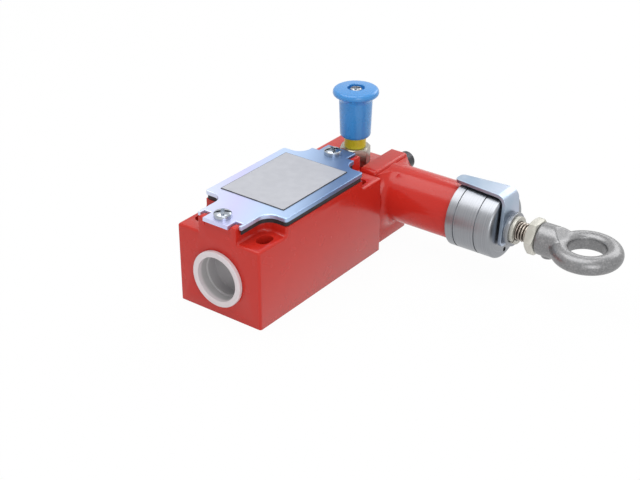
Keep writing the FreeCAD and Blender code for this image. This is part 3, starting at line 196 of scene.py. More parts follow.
def red_paint():
    f = Finish("red_casting_paint")
    f.colour(f.colours(f.noise(30, 3), [(0.3, (0.515, 0.020, 0.012)), (0.7, (0.540, 0.023, 0.014))]))
    f.values(f.noise(120, 2), 0.25, 0.28, "Roughness")
    f.constant(Metallic=0.0, Specular_IOR_Level=0.18, Coat_Weight=0.30, Coat_Roughness=0.10)
    return f.bumps((f.noise(300, 1), 0.02, 0.02)).material


def plated_cover():
    """Passivated zinc with its own blue and lilac tint, and a painted reflection: pale at the front left,
    darker steel blue towards the rear right.
    """
    f = Finish("iridescent_zinc_with_painted_reflection")
    # Painted reflection: this ramp runs from pale at the front left to dark steel blue at the rear right,
    # over the zinc's own blue and lilac tint.
    across = f.ramp_along(Vector((0.80, 0.45, 0)), COVER_LOW, COVER_HIGH, f.noise(18, 1), 0.20)
    f.colour(f.colours(across, [
        (0.08, (0.66, 0.74, 0.88)), (0.28, (0.60, 0.60, 0.88)), (0.45, (0.52, 0.66, 0.90)),
        (0.60, (0.40, 0.54, 0.78)), (0.78, (0.15, 0.24, 0.42)), (0.95, (0.26, 0.38, 0.58))]))
    f.values(f.noise(120, 2), 0.34, 0.38, "Roughness")
    f.constant(Metallic=0.7)
    return f.bumps((f.noise(60, 1), 0.03, 0.02)).material


def black_rubber():
    f = Finish("black_rubber")
    f.colour(f.colours(f.noise(900, 3), [(0.3, (0.012, 0.012, 0.014)), (0.7, (0.024, 0.024, 0.026))]))
    f.values(f.noise(500, 3), 0.55, 0.75, "Roughness")
    return f.bumps((f.noise(1200, 3), 0.3, 0.05)).material


def plug_plastic():
    """Milky plastic, pale at the flange, with painted shade making it greyer down in the cup."""
    f = Finish("milky_plug_plastic")
    # Painted shade: the colour turns grey with depth into the cup.
    depth = f.ramp_along(Vector((0, 1, 0)), PLUG_LOW, PLUG_HIGH, f.noise(60, 2), 0.06)
    f.colour(f.colours(depth, [(0.10, (0.70, 0.64, 0.66)), (0.20, (0.44, 0.43, 0.43)),
                               (0.60, (0.40, 0.39, 0.40)), (0.95, (0.42, 0.41, 0.42))]))
    f.values(f.noise(300, 3), 0.34, 0.46, "Roughness")
    return f.bumps((f.noise(600, 2), 0.06, 0.04)).material


def bright_plating(name="bright_zinc_screw", low=(0.30, 0.33, 0.37), high=(0.44, 0.47, 0.51)):
    f = Finish(name)
    f.colour(f.colours(f.noise(400, 3), [(0.3, low), (0.7, high)]))
    f.values(f.noise(900, 4), 0.20, 0.30, "Roughness")
    f.constant(Metallic=1.0)
    return f.bumps((f.noise(1400, 3), 0.06, 0.02)).material


def blackened_steel():
    f = Finish("blackened_steel_screw")
    f.colour(f.colours(f.noise(300, 3), [(0.3, (0.03, 0.03, 0.035)), (0.7, (0.07, 0.07, 0.075))]))
    f.values(f.noise(700, 3), 0.25, 0.4, "Roughness")
    f.constant(Metallic=0.8)
    return f.bumps((f.noise(900, 3), 0.15, 0.04)).material


def turned_steel(name="turned_steel", axis_point=None, axis=(1, 0, 0), low=(0.24, 0.25, 0.27),
                 high=(0.34, 0.35, 0.37)):
    f = Finish(name)
    rings = f.turning(axis_point or PULL_AXIS, axis, 3.0)
    f.colour(f.colours(rings, [(0.3, low), (0.7, high)]))
    f.values(rings, 0.28, 0.40, "Roughness")
    f.constant(Metallic=1.0)
    return f.bumps((rings, 0.06, 0.015)).material


def zinc_plate():
    f = Finish("blue_zinc_plate")
    f.colour(f.colours(f.noise(50, 3, 0.6), [
        (0.3, (0.30, 0.40, 0.52)), (0.5, (0.38, 0.46, 0.56)), (0.7, (0.46, 0.50, 0.60))]))
    f.values(f.noise(400, 4), 0.32, 0.42, "Roughness")
    f.constant(Metallic=1.0)
    return f.bumps((f.noise(1000, 2, stretch=(0.08, 1, 1)), 0.04, 0.01)).material


def thread_steel():
    """Bare thread with warm glints in the grooves."""
    f = Finish("warm_steel_thread")
    f.colour(f.colours(f.noise(250, 3), [(0.35, (0.22, 0.19, 0.17)), (0.65, (0.46, 0.41, 0.36))]))
    f.values(f.noise(600, 3), 0.26, 0.38, "Roughness")
    f.constant(Metallic=1.0)
    return f.bumps((f.noise(900, 3), 0.10, 0.03)).material


def cream_zinc():
    f = Finish("cream_zinc_nut")
    f.colour(f.colours(f.noise(160, 4), [(0.3, (0.44, 0.43, 0.38)), (0.7, (0.62, 0.61, 0.56))]))
    f.values(f.noise(600, 3), 0.38, 0.52, "Roughness")
    f.constant(Metallic=0.6)
    return f.bumps((f.noise(700, 4), 0.15, 0.05)).material


def cast_grey():
    f = Finish("grey_casting")
    speckle = f.noise(1300, 5, 0.7)
    f.colour(f.colours(speckle, [(0.35, (0.19, 0.19, 0.195)), (0.52, (0.23, 0.23, 0.235)),
                                 (0.68, (0.33, 0.33, 0.33))]))
    f.values(speckle, 0.28, 0.42, "Roughness")
    f.constant(Metallic=0.7)
    return f.bumps((f.noise(120, 3), 0.12, 0.15), (speckle, 0.25, 0.05)).material


def blue_plastic():
    f = Finish("blue_knob_plastic")
    f.colour(f.colours(f.noise(60, 3), [(0.3, (0.040, 0.250, 0.61)), (0.7, (0.046, 0.270, 0.65))]))
    f.values(f.noise(350, 3), 0.24, 0.34, "Roughness")
    f.constant(Coat_Weight=0.2, Coat_Roughness=0.15)
    return f.bumps((f.noise(500, 2), 0.05, 0.04)).material


def yellow_plastic():
    f = Finish("yellow_collar_plastic")
    f.colour(f.colours(f.noise(200, 3), [(0.3, (0.55, 0.46, 0.015)), (0.7, (0.68, 0.57, 0.03))]))
    f.values(f.noise(400, 3), 0.28, 0.4, "Roughness")
    return f.bumps((f.noise(700, 2), 0.1, 0.04)).material


def satin_label():
    f = Finish("satin_label_foil")
    f.colour(f.colours(f.noise(300, 2), [(0.3, (0.44, 0.45, 0.49)), (0.7, (0.48, 0.49, 0.53))]))
    f.values(f.noise(400, 2), 0.42, 0.48, "Roughness")
    f.constant(Metallic=0.35)
    return f.bumps((f.noise(500, 2), 0.03, 0.01)).material


def moulded(name, low, high, rough=0.45):
    f = Finish(name)
    f.colour(f.colours(f.noise(150, 3), [(0.3, low), (0.7, high)]))
    f.values(f.noise(400, 3), rough - 0.06, rough + 0.08, "Roughness")
    return f.bumps((f.noise(800, 3), 0.15, 0.04)).material


def brass():
    f = Finish("contact_brass")
    f.colour(f.colours(f.noise(200, 3), [(0.3, (0.62, 0.44, 0.16)), (0.7, (0.75, 0.56, 0.24))]))
    f.values(f.noise(600, 3), 0.25, 0.4, "Roughness")
    f.constant(Metallic=1.0)
    return f.bumps((f.noise(900, 3), 0.15, 0.03)).material


FINISHES = {
    "casing_paint": red_paint(),
    "cover_zinc": plated_cover(),
    "black_rubber": black_rubber(),
    "bright_screw": bright_plating(),
    "dark_screw": blackened_steel(),
    "plug_plastic": plug_plastic(),
    "block_plastic": moulded("black_block_plastic", (0.03, 0.03, 0.032), (0.06, 0.06, 0.062)),
    "carrier_plastic": moulded("cream_carrier_plastic", (0.66, 0.64, 0.56), (0.76, 0.74, 0.66)),
    "contact_brass": brass(),
    "turned_steel": turned_steel(),
    "zinc_plate": zinc_plate(),
    "zinc_nut": cream_zinc(),
    "cast_eye": cast_grey(),
    "spring_steel": bright_plating("spring_steel", (0.40, 0.40, 0.42), (0.52, 0.52, 0.54)),
    "bush_brass": turned_steel("plated_bush", KNOB_AXIS, (0, 0, 1), (0.32, 0.30, 0.26), (0.44, 0.42, 0.37)),
    "collar_yellow": yellow_plastic(),
    "knob_blue": blue_plastic(),
}
LABEL_FOIL = satin_label()
THREAD_STEEL = thread_steel()
SLOT_OF = {part["node"]: part["material_slot"] for part in frame["record"]["subparts"]}
BODY_OF = {node: body for body, nodes in frame["record"]["behaviour"]["bodies"].items() for node in nodes}


def finish_nodes():
    """Gives every carried-over node the finish of its slot."""
    for name, node in NODES.items():
        node.data.materials.clear()
        node.data.materials.append(FINISHES[SLOT_OF[name]])


# Mesh helpers

SHARP_ANGLE = 35
BEVEL_SEGMENTS = 3
CUT_OVERSHOOT = 1.0
ROUND_SIDES = 96
SMALL_ROUND_SIDES = 64
QUARTER_TURN = [math.radians(angle) for angle in range(0, 91, 15)]
NODE_EDGES = {"body_casing": 0.5, "head_casting": 0.5, "jam_nut": 0.3, "reset_bush": 0.2}

def placed(piece, body, stands_for=()):
    """Makes a finished piece ride on its body and hides the nodes that it stands for."""
    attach(piece, body)
    if stands_for:
        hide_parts(*stands_for)
    return piece


def object_of(name, mesh, material):
    mesh.materials.clear()
    mesh.materials.append(material)
    piece = bpy.data.objects.new(name, mesh)
    bpy.context.scene.collection.objects.link(piece)
    return piece


def with_modifiers_applied(piece):
    """The piece as a plain mesh, with its modifiers gone."""
    graph = bpy.context.evaluated_depsgraph_get()
    mesh = bpy.data.meshes.new_from_object(piece.evaluated_get(graph), depsgraph=graph)
    piece.modifiers.clear()
    piece.data = mesh
    return piece


def shaded(piece, sharp_angle=SHARP_ANGLE):
    piece.data.shade_smooth()
    piece.data.set_sharp_from_angle(angle=math.radians(sharp_angle))
    return piece


def merged_copy(node, merge=0.004):
    """A joined-up mesh of a node, with its flat areas as single faces."""
    mesh = NODES[node].data.copy()
    edit = bmesh.new()
    edit.from_mesh(mesh)
    bmesh.ops.remove_doubles(edit, verts=edit.verts, dist=merge * MM)
    bmesh.ops.dissolve_limit(edit, angle_limit=math.radians(0.3), verts=edit.verts, edges=edit.edges)
    edit.to_mesh(mesh)
    edit.free()
    return mesh


def rounded(piece, edge, segments=BEVEL_SEGMENTS, angle=30):
    """The piece with its sharp edges rounded, as a plain mesh."""
    bevel = piece.modifiers.new("edges", "BEVEL")
    bevel.width = edge * MM
    bevel.segments = segments
    bevel.limit_method = "ANGLE"
    bevel.angle_limit = math.radians(angle)
    bevel.harden_normals = True
    piece.data.shade_smooth()
    return with_modifiers_applied(piece)


def dressed(node, edge):
    """A copy of a node with its edges rounded, standing for it."""
    piece = object_of(node + "_finished", merged_copy(node), FINISHES[SLOT_OF[node]])
    rounded(piece, edge, angle=SHARP_ANGLE)
    return placed(piece, BODY_OF[node], [node])


def lathe(name, profile, origin, axis, material, sides=ROUND_SIDES):
    """A closed profile of (along, radius) pairs in millimetres, turned about an axis through the origin."""
    along = Vector(axis)
    out = Vector((0, 0, 1)) if abs(along.z) < 0.5 else Vector((1, 0, 0))
    third = along.cross(out)
    points, faces = [], []
    for i in range(sides):
        angle = 2 * math.pi * i / sides
        spoke = out * math.cos(angle) + third * math.sin(angle)
        points += [origin + (along * a + spoke * r) * MM for a, r in profile]
    count = len(profile)
    for i in range(sides):
        here, beyond = i * count, (i + 1) % sides * count
        for k in range(count):
            following = (k + 1) % count
            faces.append((here + k, here + following, beyond + following, beyond + k))
    mesh = bpy.data.meshes.new(name)
    mesh.from_pydata(points, [], faces)
    cleaned(mesh)
    return object_of(name, mesh, material)


def cleaned(mesh, merge=0.001):
    """Joins doubled points, drops flat faces and turns the rest outwards."""
    edit = bmesh.new()
    edit.from_mesh(mesh)
    bmesh.ops.remove_doubles(edit, verts=edit.verts, dist=merge * MM)
    bmesh.ops.dissolve_degenerate(edit, edges=edit.edges, dist=merge * MM)
    bmesh.ops.recalc_face_normals(edit, faces=edit.faces)
    edit.to_mesh(mesh)
    edit.free()


def block(name, x, y, z, material):
    """A box from three pairs of limits in millimetres."""
    mesh = bpy.data.meshes.new(name)
    edit = bmesh.new()
    bmesh.ops.create_cube(edit, size=1.0)
    size = Matrix.Diagonal((x[1] - x[0], y[1] - y[0], z[1] - z[0])) * MM
    middle = Vector((sum(x), sum(y), sum(z))) / 2 * MM
    edit.transform(Matrix.Translation(middle) @ size.to_4x4())
    edit.to_mesh(mesh)
    edit.free()
    return object_of(name, mesh, material)


def drill(start, end, radius, place, material, sides):
    """A tool for a round hole along X between two places in millimetres."""
    profile = [(start, 0), (start, radius), (end, radius), (end, 0)]
    return lathe("tool", profile, place, (1, 0, 0), material, sides)


def cut_by(piece, tools):
    """Cuts the tools out of the piece and deletes them."""
    for tool in tools:
        cut = piece.modifiers.new("cut", "BOOLEAN")
        cut.object = tool
        cut.solver = "EXACT"
    with_modifiers_applied(piece)
    for tool in tools:
        bpy.data.objects.remove(tool)
    return piece


# Geometry Nodes

def node_tree(name, inputs):
    """An empty tree with named inputs, one geometry going in and one coming out."""
    tree = bpy.data.node_groups.new(name, "GeometryNodeTree")
    tree.interface.new_socket("Geometry", in_out="INPUT", socket_type="NodeSocketGeometry")
    for label, kind in inputs:
        tree.interface.new_socket(label, in_out="INPUT", socket_type="NodeSocket" + kind)
    tree.interface.new_socket("Geometry", in_out="OUTPUT", socket_type="NodeSocketGeometry")
    return tree, tree.nodes.new("NodeGroupInput"), tree.nodes.new("NodeGroupOutput")


def finish_tree(tree, start, end, geometry):
    """Ends a tree: real geometry with its material set."""
    real = tree.nodes.new("GeometryNodeRealizeInstances")
    paint = tree.nodes.new("GeometryNodeSetMaterial")
    tree.links.new(geometry, real.inputs["Geometry"])
    tree.links.new(real.outputs["Geometry"], paint.inputs["Geometry"])
    tree.links.new(start.outputs["Material"], paint.inputs["Material"])
    tree.links.new(paint.outputs["Geometry"], end.inputs["Geometry"])


def grown(name, tree, values, points=()):
    """Runs a tree over a mesh of points and keeps the result as a plain mesh."""
    mesh = bpy.data.meshes.new(name)
    mesh.from_pydata([Vector(p) for p in points], [], [])
    piece = object_of(name, mesh, values["Material"])
    modifier = piece.modifiers.new("grow", "NODES")
    modifier.node_group = tree
    for item in tree.interface.items_tree:
        if item.in_out == "INPUT" and item.name in values:
            modifier[item.identifier] = values[item.name]
    return with_modifiers_applied(piece)


def repeat_tree():
    """Puts one object on every point, each turned a little differently about its upright axis."""
    tree, start, end = node_tree("repeat_on_points", [
        ("Piece", "Object"), ("Turn", "Float"), ("Turn Spread", "Float"), ("Seed", "Int"),
        ("Material", "Material")])
    nodes, link = tree.nodes, tree.links.new
    info = nodes.new("GeometryNodeObjectInfo")
    spread = nodes.new("FunctionNodeRandomValue")
    total = nodes.new("ShaderNodeMath")
    angles = nodes.new("ShaderNodeCombineXYZ")
    put = nodes.new("GeometryNodeInstanceOnPoints")
    link(start.outputs["Piece"], info.inputs["Object"])
    link(start.outputs["Turn Spread"], spread.inputs[3])
    link(start.outputs["Seed"], spread.inputs["Seed"])
    link(start.outputs["Turn"], total.inputs[0])
    link(spread.outputs[1], total.inputs[1])
    link(total.outputs[0], angles.inputs["Z"])
    link(start.outputs["Geometry"], put.inputs["Points"])
    link(info.outputs["Geometry"], put.inputs["Instance"])
    link(angles.outputs["Vector"], put.inputs["Rotation"])
    finish_tree(tree, start, end, put.outputs["Instances"])
    return tree


def helix_tree():
    """A ridge that follows a helix about the X direction, from its start point on."""
    tree, start, end = node_tree("helix_ridge", [
        ("Pitch", "Float"), ("Length", "Float"), ("Radius", "Float"), ("Ridge", "Float"),
        ("Start", "Vector"), ("Material", "Material")])
    nodes, link = tree.nodes, tree.links.new
    turns = nodes.new("ShaderNodeMath")
    turns.operation = "DIVIDE"
    spiral = nodes.new("GeometryNodeCurveSpiral")
    spiral.inputs["Resolution"].default_value = 48
    ring = nodes.new("GeometryNodeCurvePrimitiveCircle")
    ring.inputs["Resolution"].default_value = 4
    sweep = nodes.new("GeometryNodeCurveToMesh")
    sweep.inputs["Fill Caps"].default_value = True
    normal = nodes.new("GeometryNodeSetCurveNormal")
    normal.mode = "Z_UP"
    lay = nodes.new("GeometryNodeTransform")
    lay.inputs["Rotation"].default_value = (0, math.radians(90), 0)
    link(start.outputs["Length"], turns.inputs[0])
    link(start.outputs["Pitch"], turns.inputs[1])
    link(turns.outputs[0], spiral.inputs["Rotations"])
    link(start.outputs["Radius"], spiral.inputs["Start Radius"])
    link(start.outputs["Radius"], spiral.inputs["End Radius"])
    link(start.outputs["Length"], spiral.inputs["Height"])
    link(start.outputs["Ridge"], ring.inputs["Radius"])
    link(spiral.outputs["Curve"], normal.inputs["Curve"])
    link(normal.outputs["Curve"], sweep.inputs["Curve"])
    link(ring.outputs["Curve"], sweep.inputs["Profile Curve"])
    link(sweep.outputs["Mesh"], lay.inputs["Geometry"])
    link(start.outputs["Start"], lay.inputs["Translation"])
    finish_tree(tree, start, end, lay.outputs["Geometry"])
    return tree


# Pieces

SCREW_HEAD_RADIUS = 3.5
SCREW_RIM_HEIGHT = 1.5
SCREW_DOME_HEIGHT = 1.0
SCREW_SHANK_RADIUS = 1.95
SCREW_SHANK_LENGTH = 12.7
SCREW_SLOT_WIDTH = 1.0
SCREW_SLOT_DEPTH = 1.1
SCREW_CROSS_WIDTH = 1.3
SCREW_CROSS_REACH = 2.3
SCREW_CROSS_DEPTH = 1.9
SCREW_WIDE_REACH = 3.2
SCREW_WIDE_DEPTH = 1.6
COVER_SCREW_TURN = 51.0
COVER_SCREW_TURN_SPREAD = -14.0
COVER_SCREW_SEED = 4
KNOB_SCREW_TURN = 30.0


def pan_head_screw(name, scale, material):
    """A pan head with a cross recess and a slot across it, at the origin with its seat at zero height."""
    dome = [(SCREW_RIM_HEIGHT + SCREW_DOME_HEIGHT * math.sin(math.radians(a)),
             SCREW_HEAD_RADIUS * math.cos(math.radians(a))) for a in range(0, 91, 10)]
    profile = [(-SCREW_SHANK_LENGTH, 0), (-SCREW_SHANK_LENGTH, SCREW_SHANK_RADIUS), (0, SCREW_SHANK_RADIUS),
               (0, SCREW_HEAD_RADIUS)] + dome
    profile = [(a * scale, r * scale) for a, r in profile]
    screw = lathe(name, profile, Vector(), (0, 0, 1), material, SMALL_ROUND_SIDES)
    top = SCREW_RIM_HEIGHT + SCREW_DOME_HEIGHT

    def bar(half_x, half_y, depth):
        x, y = (-half_x * scale, half_x * scale), (-half_y * scale, half_y * scale)
        return block("tool", x, y, ((top - depth) * scale, (top + CUT_OVERSHOOT) * scale), material)

    tools = [bar(SCREW_HEAD_RADIUS + CUT_OVERSHOOT, SCREW_SLOT_WIDTH / 2, SCREW_SLOT_DEPTH),
             bar(SCREW_CROSS_REACH, SCREW_CROSS_WIDTH / 2, SCREW_CROSS_DEPTH),
             bar(SCREW_CROSS_WIDTH / 2, SCREW_WIDE_REACH, SCREW_WIDE_DEPTH)]
    return cut_by(screw, tools)


def cover_screws(repeat):
    low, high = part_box("cover_screws")
    radius = SCREW_HEAD_RADIUS * MM
    seat = COVER_HIGH.z
    model = pan_head_screw("screw_model", 1.0, FINISHES["bright_screw"])
    screws = grown("cover_screws_recessed", repeat, {
        "Piece": model, "Turn": math.radians(COVER_SCREW_TURN),
        "Turn Spread": math.radians(COVER_SCREW_TURN_SPREAD), "Seed": COVER_SCREW_SEED,
        "Material": FINISHES["bright_screw"]},
        [(0, low.y + radius, seat), (0, high.y - radius, seat)])
    bpy.data.objects.remove(model)
    shaded(screws)
    placed(screws, BODY_OF["cover_screws"], ["cover_screws"])


def knob_screw():
    low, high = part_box("knob_screw")
    scale = (high.x - low.x) / 2 / MM / SCREW_HEAD_RADIUS
    screw = pan_head_screw("knob_screw_recessed", scale, FINISHES["bright_screw"])
    slot = SLOT_OF["knob_screw"]
    screw.data.materials[0] = FINISHES[slot]
    head = (SCREW_RIM_HEIGHT + SCREW_DOME_HEIGHT) * scale * MM
    turn = Matrix.Rotation(math.radians(KNOB_SCREW_TURN), 4, "Z")
    screw.data.transform(Matrix.Translation((KNOB_AXIS.x, KNOB_AXIS.y, KNOB_HIGH.z - head)) @ turn)
    shaded(screw)
    placed(screw, BODY_OF["knob_screw"], ["knob_screw"])


KNOB_LOW_RADIUS = 6.4
KNOB_WAIST_RADIUS = 6.9
KNOB_WAIST_DROP = 6.3
KNOB_CAP_RADIUS = 9.5
KNOB_CAP_DROP = 3.3
KNOB_CAP_UNDERCUT = 0.7
KNOB_RIM_DROP = 1.9
KNOB_CROWN_RADIUS = 7.9
KNOB_CROWN_DROP = 0.45
KNOB_FLAT_RADIUS = 4.4
KNOB_RECESS_RADIUS = 3.6
KNOB_RECESS_DEPTH = 1.6
KNOB_RECESS_CHAMFER = 0.25
KNOB_SHOULDER_BULGE = 0.5
KNOB_RIM_BULGE = 0.25
KNOB_FLARE_BULGE = -0.6
KNOB_FOOT_ROUND = 1.3
KNOB_BORE_RADIUS = 4.6
KNOB_CEILING_DROP = 9.8


def bowed(start, end, bulge, steps=6):
    """Points from start to end on a shallow curve that bulges outwards, or inwards with a negative bulge."""
    (a, r), (b, q) = start, end
    length = math.hypot(b - a, q - r)
    out = ((q - r) / length, (a - b) / length)
    points = []
    for i in range(steps + 1):
        t = i / steps
        lift = 4 * t * (1 - t) * bulge
        points.append((a + (b - a) * t + out[0] * lift, r + (q - r) * t + out[1] * lift))
    return points


def reset_knob():
    """The knob with its thick flared cap, hollow below over the collar."""
    top, bottom = KNOB_HIGH.z / MM, KNOB_LOW.z / MM
    crown = (top - KNOB_CROWN_DROP, KNOB_CROWN_RADIUS)
    rim = (top - KNOB_RIM_DROP, KNOB_CAP_RADIUS)
    under = (top - KNOB_CAP_DROP, KNOB_CAP_RADIUS - KNOB_CAP_UNDERCUT)
    waist = (top - KNOB_WAIST_DROP, KNOB_WAIST_RADIUS)
    foot = [(bottom + KNOB_FOOT_ROUND * (1 - math.sin(t)),
             KNOB_LOW_RADIUS - KNOB_FOOT_ROUND * (1 - math.cos(t))) for t in QUARTER_TURN]
    recess = [(top - KNOB_RECESS_DEPTH, 0), (top - KNOB_RECESS_DEPTH, KNOB_RECESS_RADIUS),
              (top - KNOB_RECESS_CHAMFER, KNOB_RECESS_RADIUS),
              (top, KNOB_RECESS_RADIUS + KNOB_RECESS_CHAMFER)]
    cap = (bowed(crown, rim, KNOB_SHOULDER_BULGE) + bowed(rim, under, KNOB_RIM_BULGE)[1:]
           + bowed(under, waist, KNOB_FLARE_BULGE)[1:])
    bore = [(bottom, KNOB_BORE_RADIUS), (top - KNOB_CEILING_DROP, KNOB_BORE_RADIUS),
            (top - KNOB_CEILING_DROP, 0)]
    profile = recess + [(top, KNOB_FLAT_RADIUS)] + cap + foot + bore
    knob = lathe("reset_knob_moulded", profile, KNOB_AXIS, (0, 0, 1), FINISHES["knob_blue"])
    shaded(knob, sharp_angle=40)
    placed(knob, BODY_OF["reset_knob"], ["reset_knob"])


SLEEVE_START_X = 51.4
SLEEVE_END_X = 71.3
SLEEVE_RADIUS = 13.5
SLEEVE_EDGE = 1.1
SLEEVE_SIDES = 128
SLEEVE_GROOVES = (55.0, 64.5)
GROOVE_WIDTH = 0.5
GROOVE_DEPTH = 0.4
SPIGOT_END_X = 60.4
SPIGOT_BORE_RADIUS = 11.25
ROD_BORE_RADIUS = 4.6
SPANNER_HOLE_RADIUS = 1.0
SPANNER_HOLE_PITCH_RADIUS = 10.6
SPANNER_HOLE_TURN = 3.0
SPANNER_HOLE_DEPTH = 3.0
SPANNER_HOLE_SIDES = 32


def guide_sleeve():
    """The turned ring with one plain flat end, two marking grooves and the spanner hole low in its end."""
    outside = [(SLEEVE_START_X, SPIGOT_BORE_RADIUS), (SLEEVE_START_X, SLEEVE_RADIUS)]
    for x in SLEEVE_GROOVES:
        low, high, bottom = x - GROOVE_WIDTH / 2, x + GROOVE_WIDTH / 2, SLEEVE_RADIUS - GROOVE_DEPTH
        outside += [(low, SLEEVE_RADIUS), (low, bottom), (high, bottom), (high, SLEEVE_RADIUS)]
    outside += [(SLEEVE_END_X - SLEEVE_EDGE * (1 - math.sin(t)),
                 SLEEVE_RADIUS - SLEEVE_EDGE * (1 - math.cos(t))) for t in QUARTER_TURN]
    profile = outside + [(SLEEVE_END_X, ROD_BORE_RADIUS), (SPIGOT_END_X, ROD_BORE_RADIUS),
                         (SPIGOT_END_X, SPIGOT_BORE_RADIUS)]
    steel = FINISHES["turned_steel"]
    sleeve = lathe("guide_sleeve_turned", profile, PULL_AXIS, (1, 0, 0), steel, SLEEVE_SIDES)
    turn = math.radians(SPANNER_HOLE_TURN)
    middle = PULL_AXIS + SPANNER_HOLE_PITCH_RADIUS * MM * Vector((0, math.sin(turn), -math.cos(turn)))
    hole_start, hole_end = SLEEVE_END_X - SPANNER_HOLE_DEPTH, SLEEVE_END_X + CUT_OVERSHOOT
    cut_by(sleeve, [drill(hole_start, hole_end, SPANNER_HOLE_RADIUS, middle, steel, SPANNER_HOLE_SIDES)])
    shaded(sleeve, sharp_angle=30)
    placed(sleeve, BODY_OF["guide_sleeve"], ["guide_sleeve"])


BRACKET_BACK_X = 72.1
BRACKET_THICKNESS = 1.4
BRACKET_TOP = 37.5
BRACKET_BEND = 3.5
BRACKET_TIP_X = 48.7
BRACKET_BOTTOM = 15.9
BRACKET_TIP_HALF = 3.0
BRACKET_HALF = 7.2
BRACKET_TIP_ROUND = 2.0
BRACKET_BOTTOM_ROUND = 2.5
BRACKET_EDGE = 0.25
BRACKET_HOLE_RADIUS = 4.0
BRACKET_HOLE_SIDES = 48
BRACKET_HOLE_REACH = (-2.0, 4.0)
BEND_STEPS = 10


def bracket_strip(length):
    """Half of the flat outline as (along, across) points: narrow round tip, wide plate with round corners."""
    tip = [(BRACKET_TIP_ROUND * (1 - math.cos(t)),
            BRACKET_TIP_HALF - BRACKET_TIP_ROUND * (1 - math.sin(t))) for t in QUARTER_TURN]
    foot = [(length - BRACKET_BOTTOM_ROUND * (1 - math.sin(t)),
             BRACKET_HALF - BRACKET_BOTTOM_ROUND * (1 - math.cos(t))) for t in QUARTER_TURN]
    return tip + foot


def indicator_bracket():
    """The pointer plate: a flat blank, bent over the sleeve's edge and given its thickness."""
    middle_x = BRACKET_BACK_X + BRACKET_THICKNESS / 2
    middle_top = BRACKET_TOP - BRACKET_THICKNESS / 2
    arm = middle_x - BRACKET_BEND - BRACKET_TIP_X
    curve = BRACKET_BEND * math.pi / 2
    length = arm + curve + middle_top - BRACKET_BEND - BRACKET_BOTTOM
    half = bracket_strip(length)
    outline = [(a, w) for a, w in half] + [(a, -w) for a, w in reversed(half)]
    mesh = bpy.data.meshes.new("indicator_bracket_bent")
    edit = bmesh.new()
    edit.faces.new([edit.verts.new((a, w, 0)) for a, w in outline])
    stations = [arm + curve * i / BEND_STEPS for i in range(BEND_STEPS + 1)]
    for station in stations:
        parts = list(edit.verts) + list(edit.edges) + list(edit.faces)
        bmesh.ops.bisect_plane(edit, geom=parts, plane_co=(station, 0, 0), plane_no=(1, 0, 0))
    for vert in edit.verts:
        along, across = vert.co.x, vert.co.y
        bent = min(max(along - arm, 0), curve) / BRACKET_BEND
        x = BRACKET_TIP_X + min(along, arm) + BRACKET_BEND * math.sin(bent)
        z = middle_top - BRACKET_BEND * (1 - math.cos(bent)) - max(along - arm - curve, 0)
        vert.co = Vector((x, PULL_AXIS.y / MM + across, z)) * MM
    bmesh.ops.recalc_face_normals(edit, faces=edit.faces)
    edit.to_mesh(mesh)
    edit.free()
    zinc = FINISHES["zinc_plate"]
    plate = object_of("indicator_bracket_bent", mesh, zinc)
    sheet = plate.modifiers.new("sheet", "SOLIDIFY")
    sheet.thickness = BRACKET_THICKNESS * MM
    sheet.offset = 0
    with_modifiers_applied(plate)
    hole_start, hole_end = (BRACKET_BACK_X + reach for reach in BRACKET_HOLE_REACH)
    cut_by(plate, [drill(hole_start, hole_end, BRACKET_HOLE_RADIUS, PULL_AXIS, zinc, BRACKET_HOLE_SIDES)])
    cleaned(plate.data)
    rounded(plate, BRACKET_EDGE, segments=2, angle=40)
    placed(plate, BODY_OF["indicator_bracket"], ["indicator_bracket"])


ROD_RADIUS = 4.5
ROD_STUD_RADIUS = 2.6
ROD_CORE_RADIUS = 3.3
THREAD_PITCH = 1.25
THREAD_RIDGE = 0.6
THREAD_LIFT = 0.05
THREAD_LEAD = 1.0
RING_EDGE = 0.2
RING_SIZES = (("lock_ring", 6.2, 1.3), ("rod_washer", 7.0, 1.2))
SPRING_RING_RADIUS = 5.7
SPRING_RING_THICKNESS = 1.5
SPRING_RING_EDGE = 0.15
SPRING_RING_SLIT = 0.9
SPRING_RING_TURN = 125.0
RING_BORE_RADIUS = 4.05


def pull_rod(helix):
    """The rod with a real thread between the washers and the eye."""
    low, high = ROD_LOW.x / MM, ROD_HIGH.x / MM
    stud_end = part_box("spring_plate")[1].x / MM
    thread_start = BRACKET_BACK_X - THREAD_LEAD
    rod = lathe("pull_rod_turned", [
        (low, 0), (low, ROD_STUD_RADIUS), (stud_end, ROD_STUD_RADIUS), (stud_end, ROD_RADIUS),
        (thread_start, ROD_RADIUS), (thread_start, ROD_CORE_RADIUS), (high, ROD_CORE_RADIUS), (high, 0)],
        PULL_AXIS, (1, 0, 0), THREAD_STEEL, SMALL_ROUND_SIDES)
    shaded(rod)
    placed(rod, BODY_OF["pull_rod"], ["pull_rod"])
    ridge = grown("rod_thread", helix, {
        "Pitch": THREAD_PITCH * MM, "Length": (high - thread_start) * MM, "Ridge": THREAD_RIDGE * MM,
        "Radius": (ROD_CORE_RADIUS + THREAD_LIFT) * MM,
        "Start": PULL_AXIS + Vector((thread_start * MM, 0, 0)),
        "Material": THREAD_STEEL})
    placed(ridge, BODY_OF["pull_rod"])


def flat_ring(name, face, thickness, radius, material):
    """A ring on the rod, from a face in millimetres outwards."""
    profile = [(face, RING_BORE_RADIUS), (face, radius), (face + thickness, radius),
               (face + thickness, RING_BORE_RADIUS)]
    return lathe(name, profile, PULL_AXIS, (1, 0, 0), material)


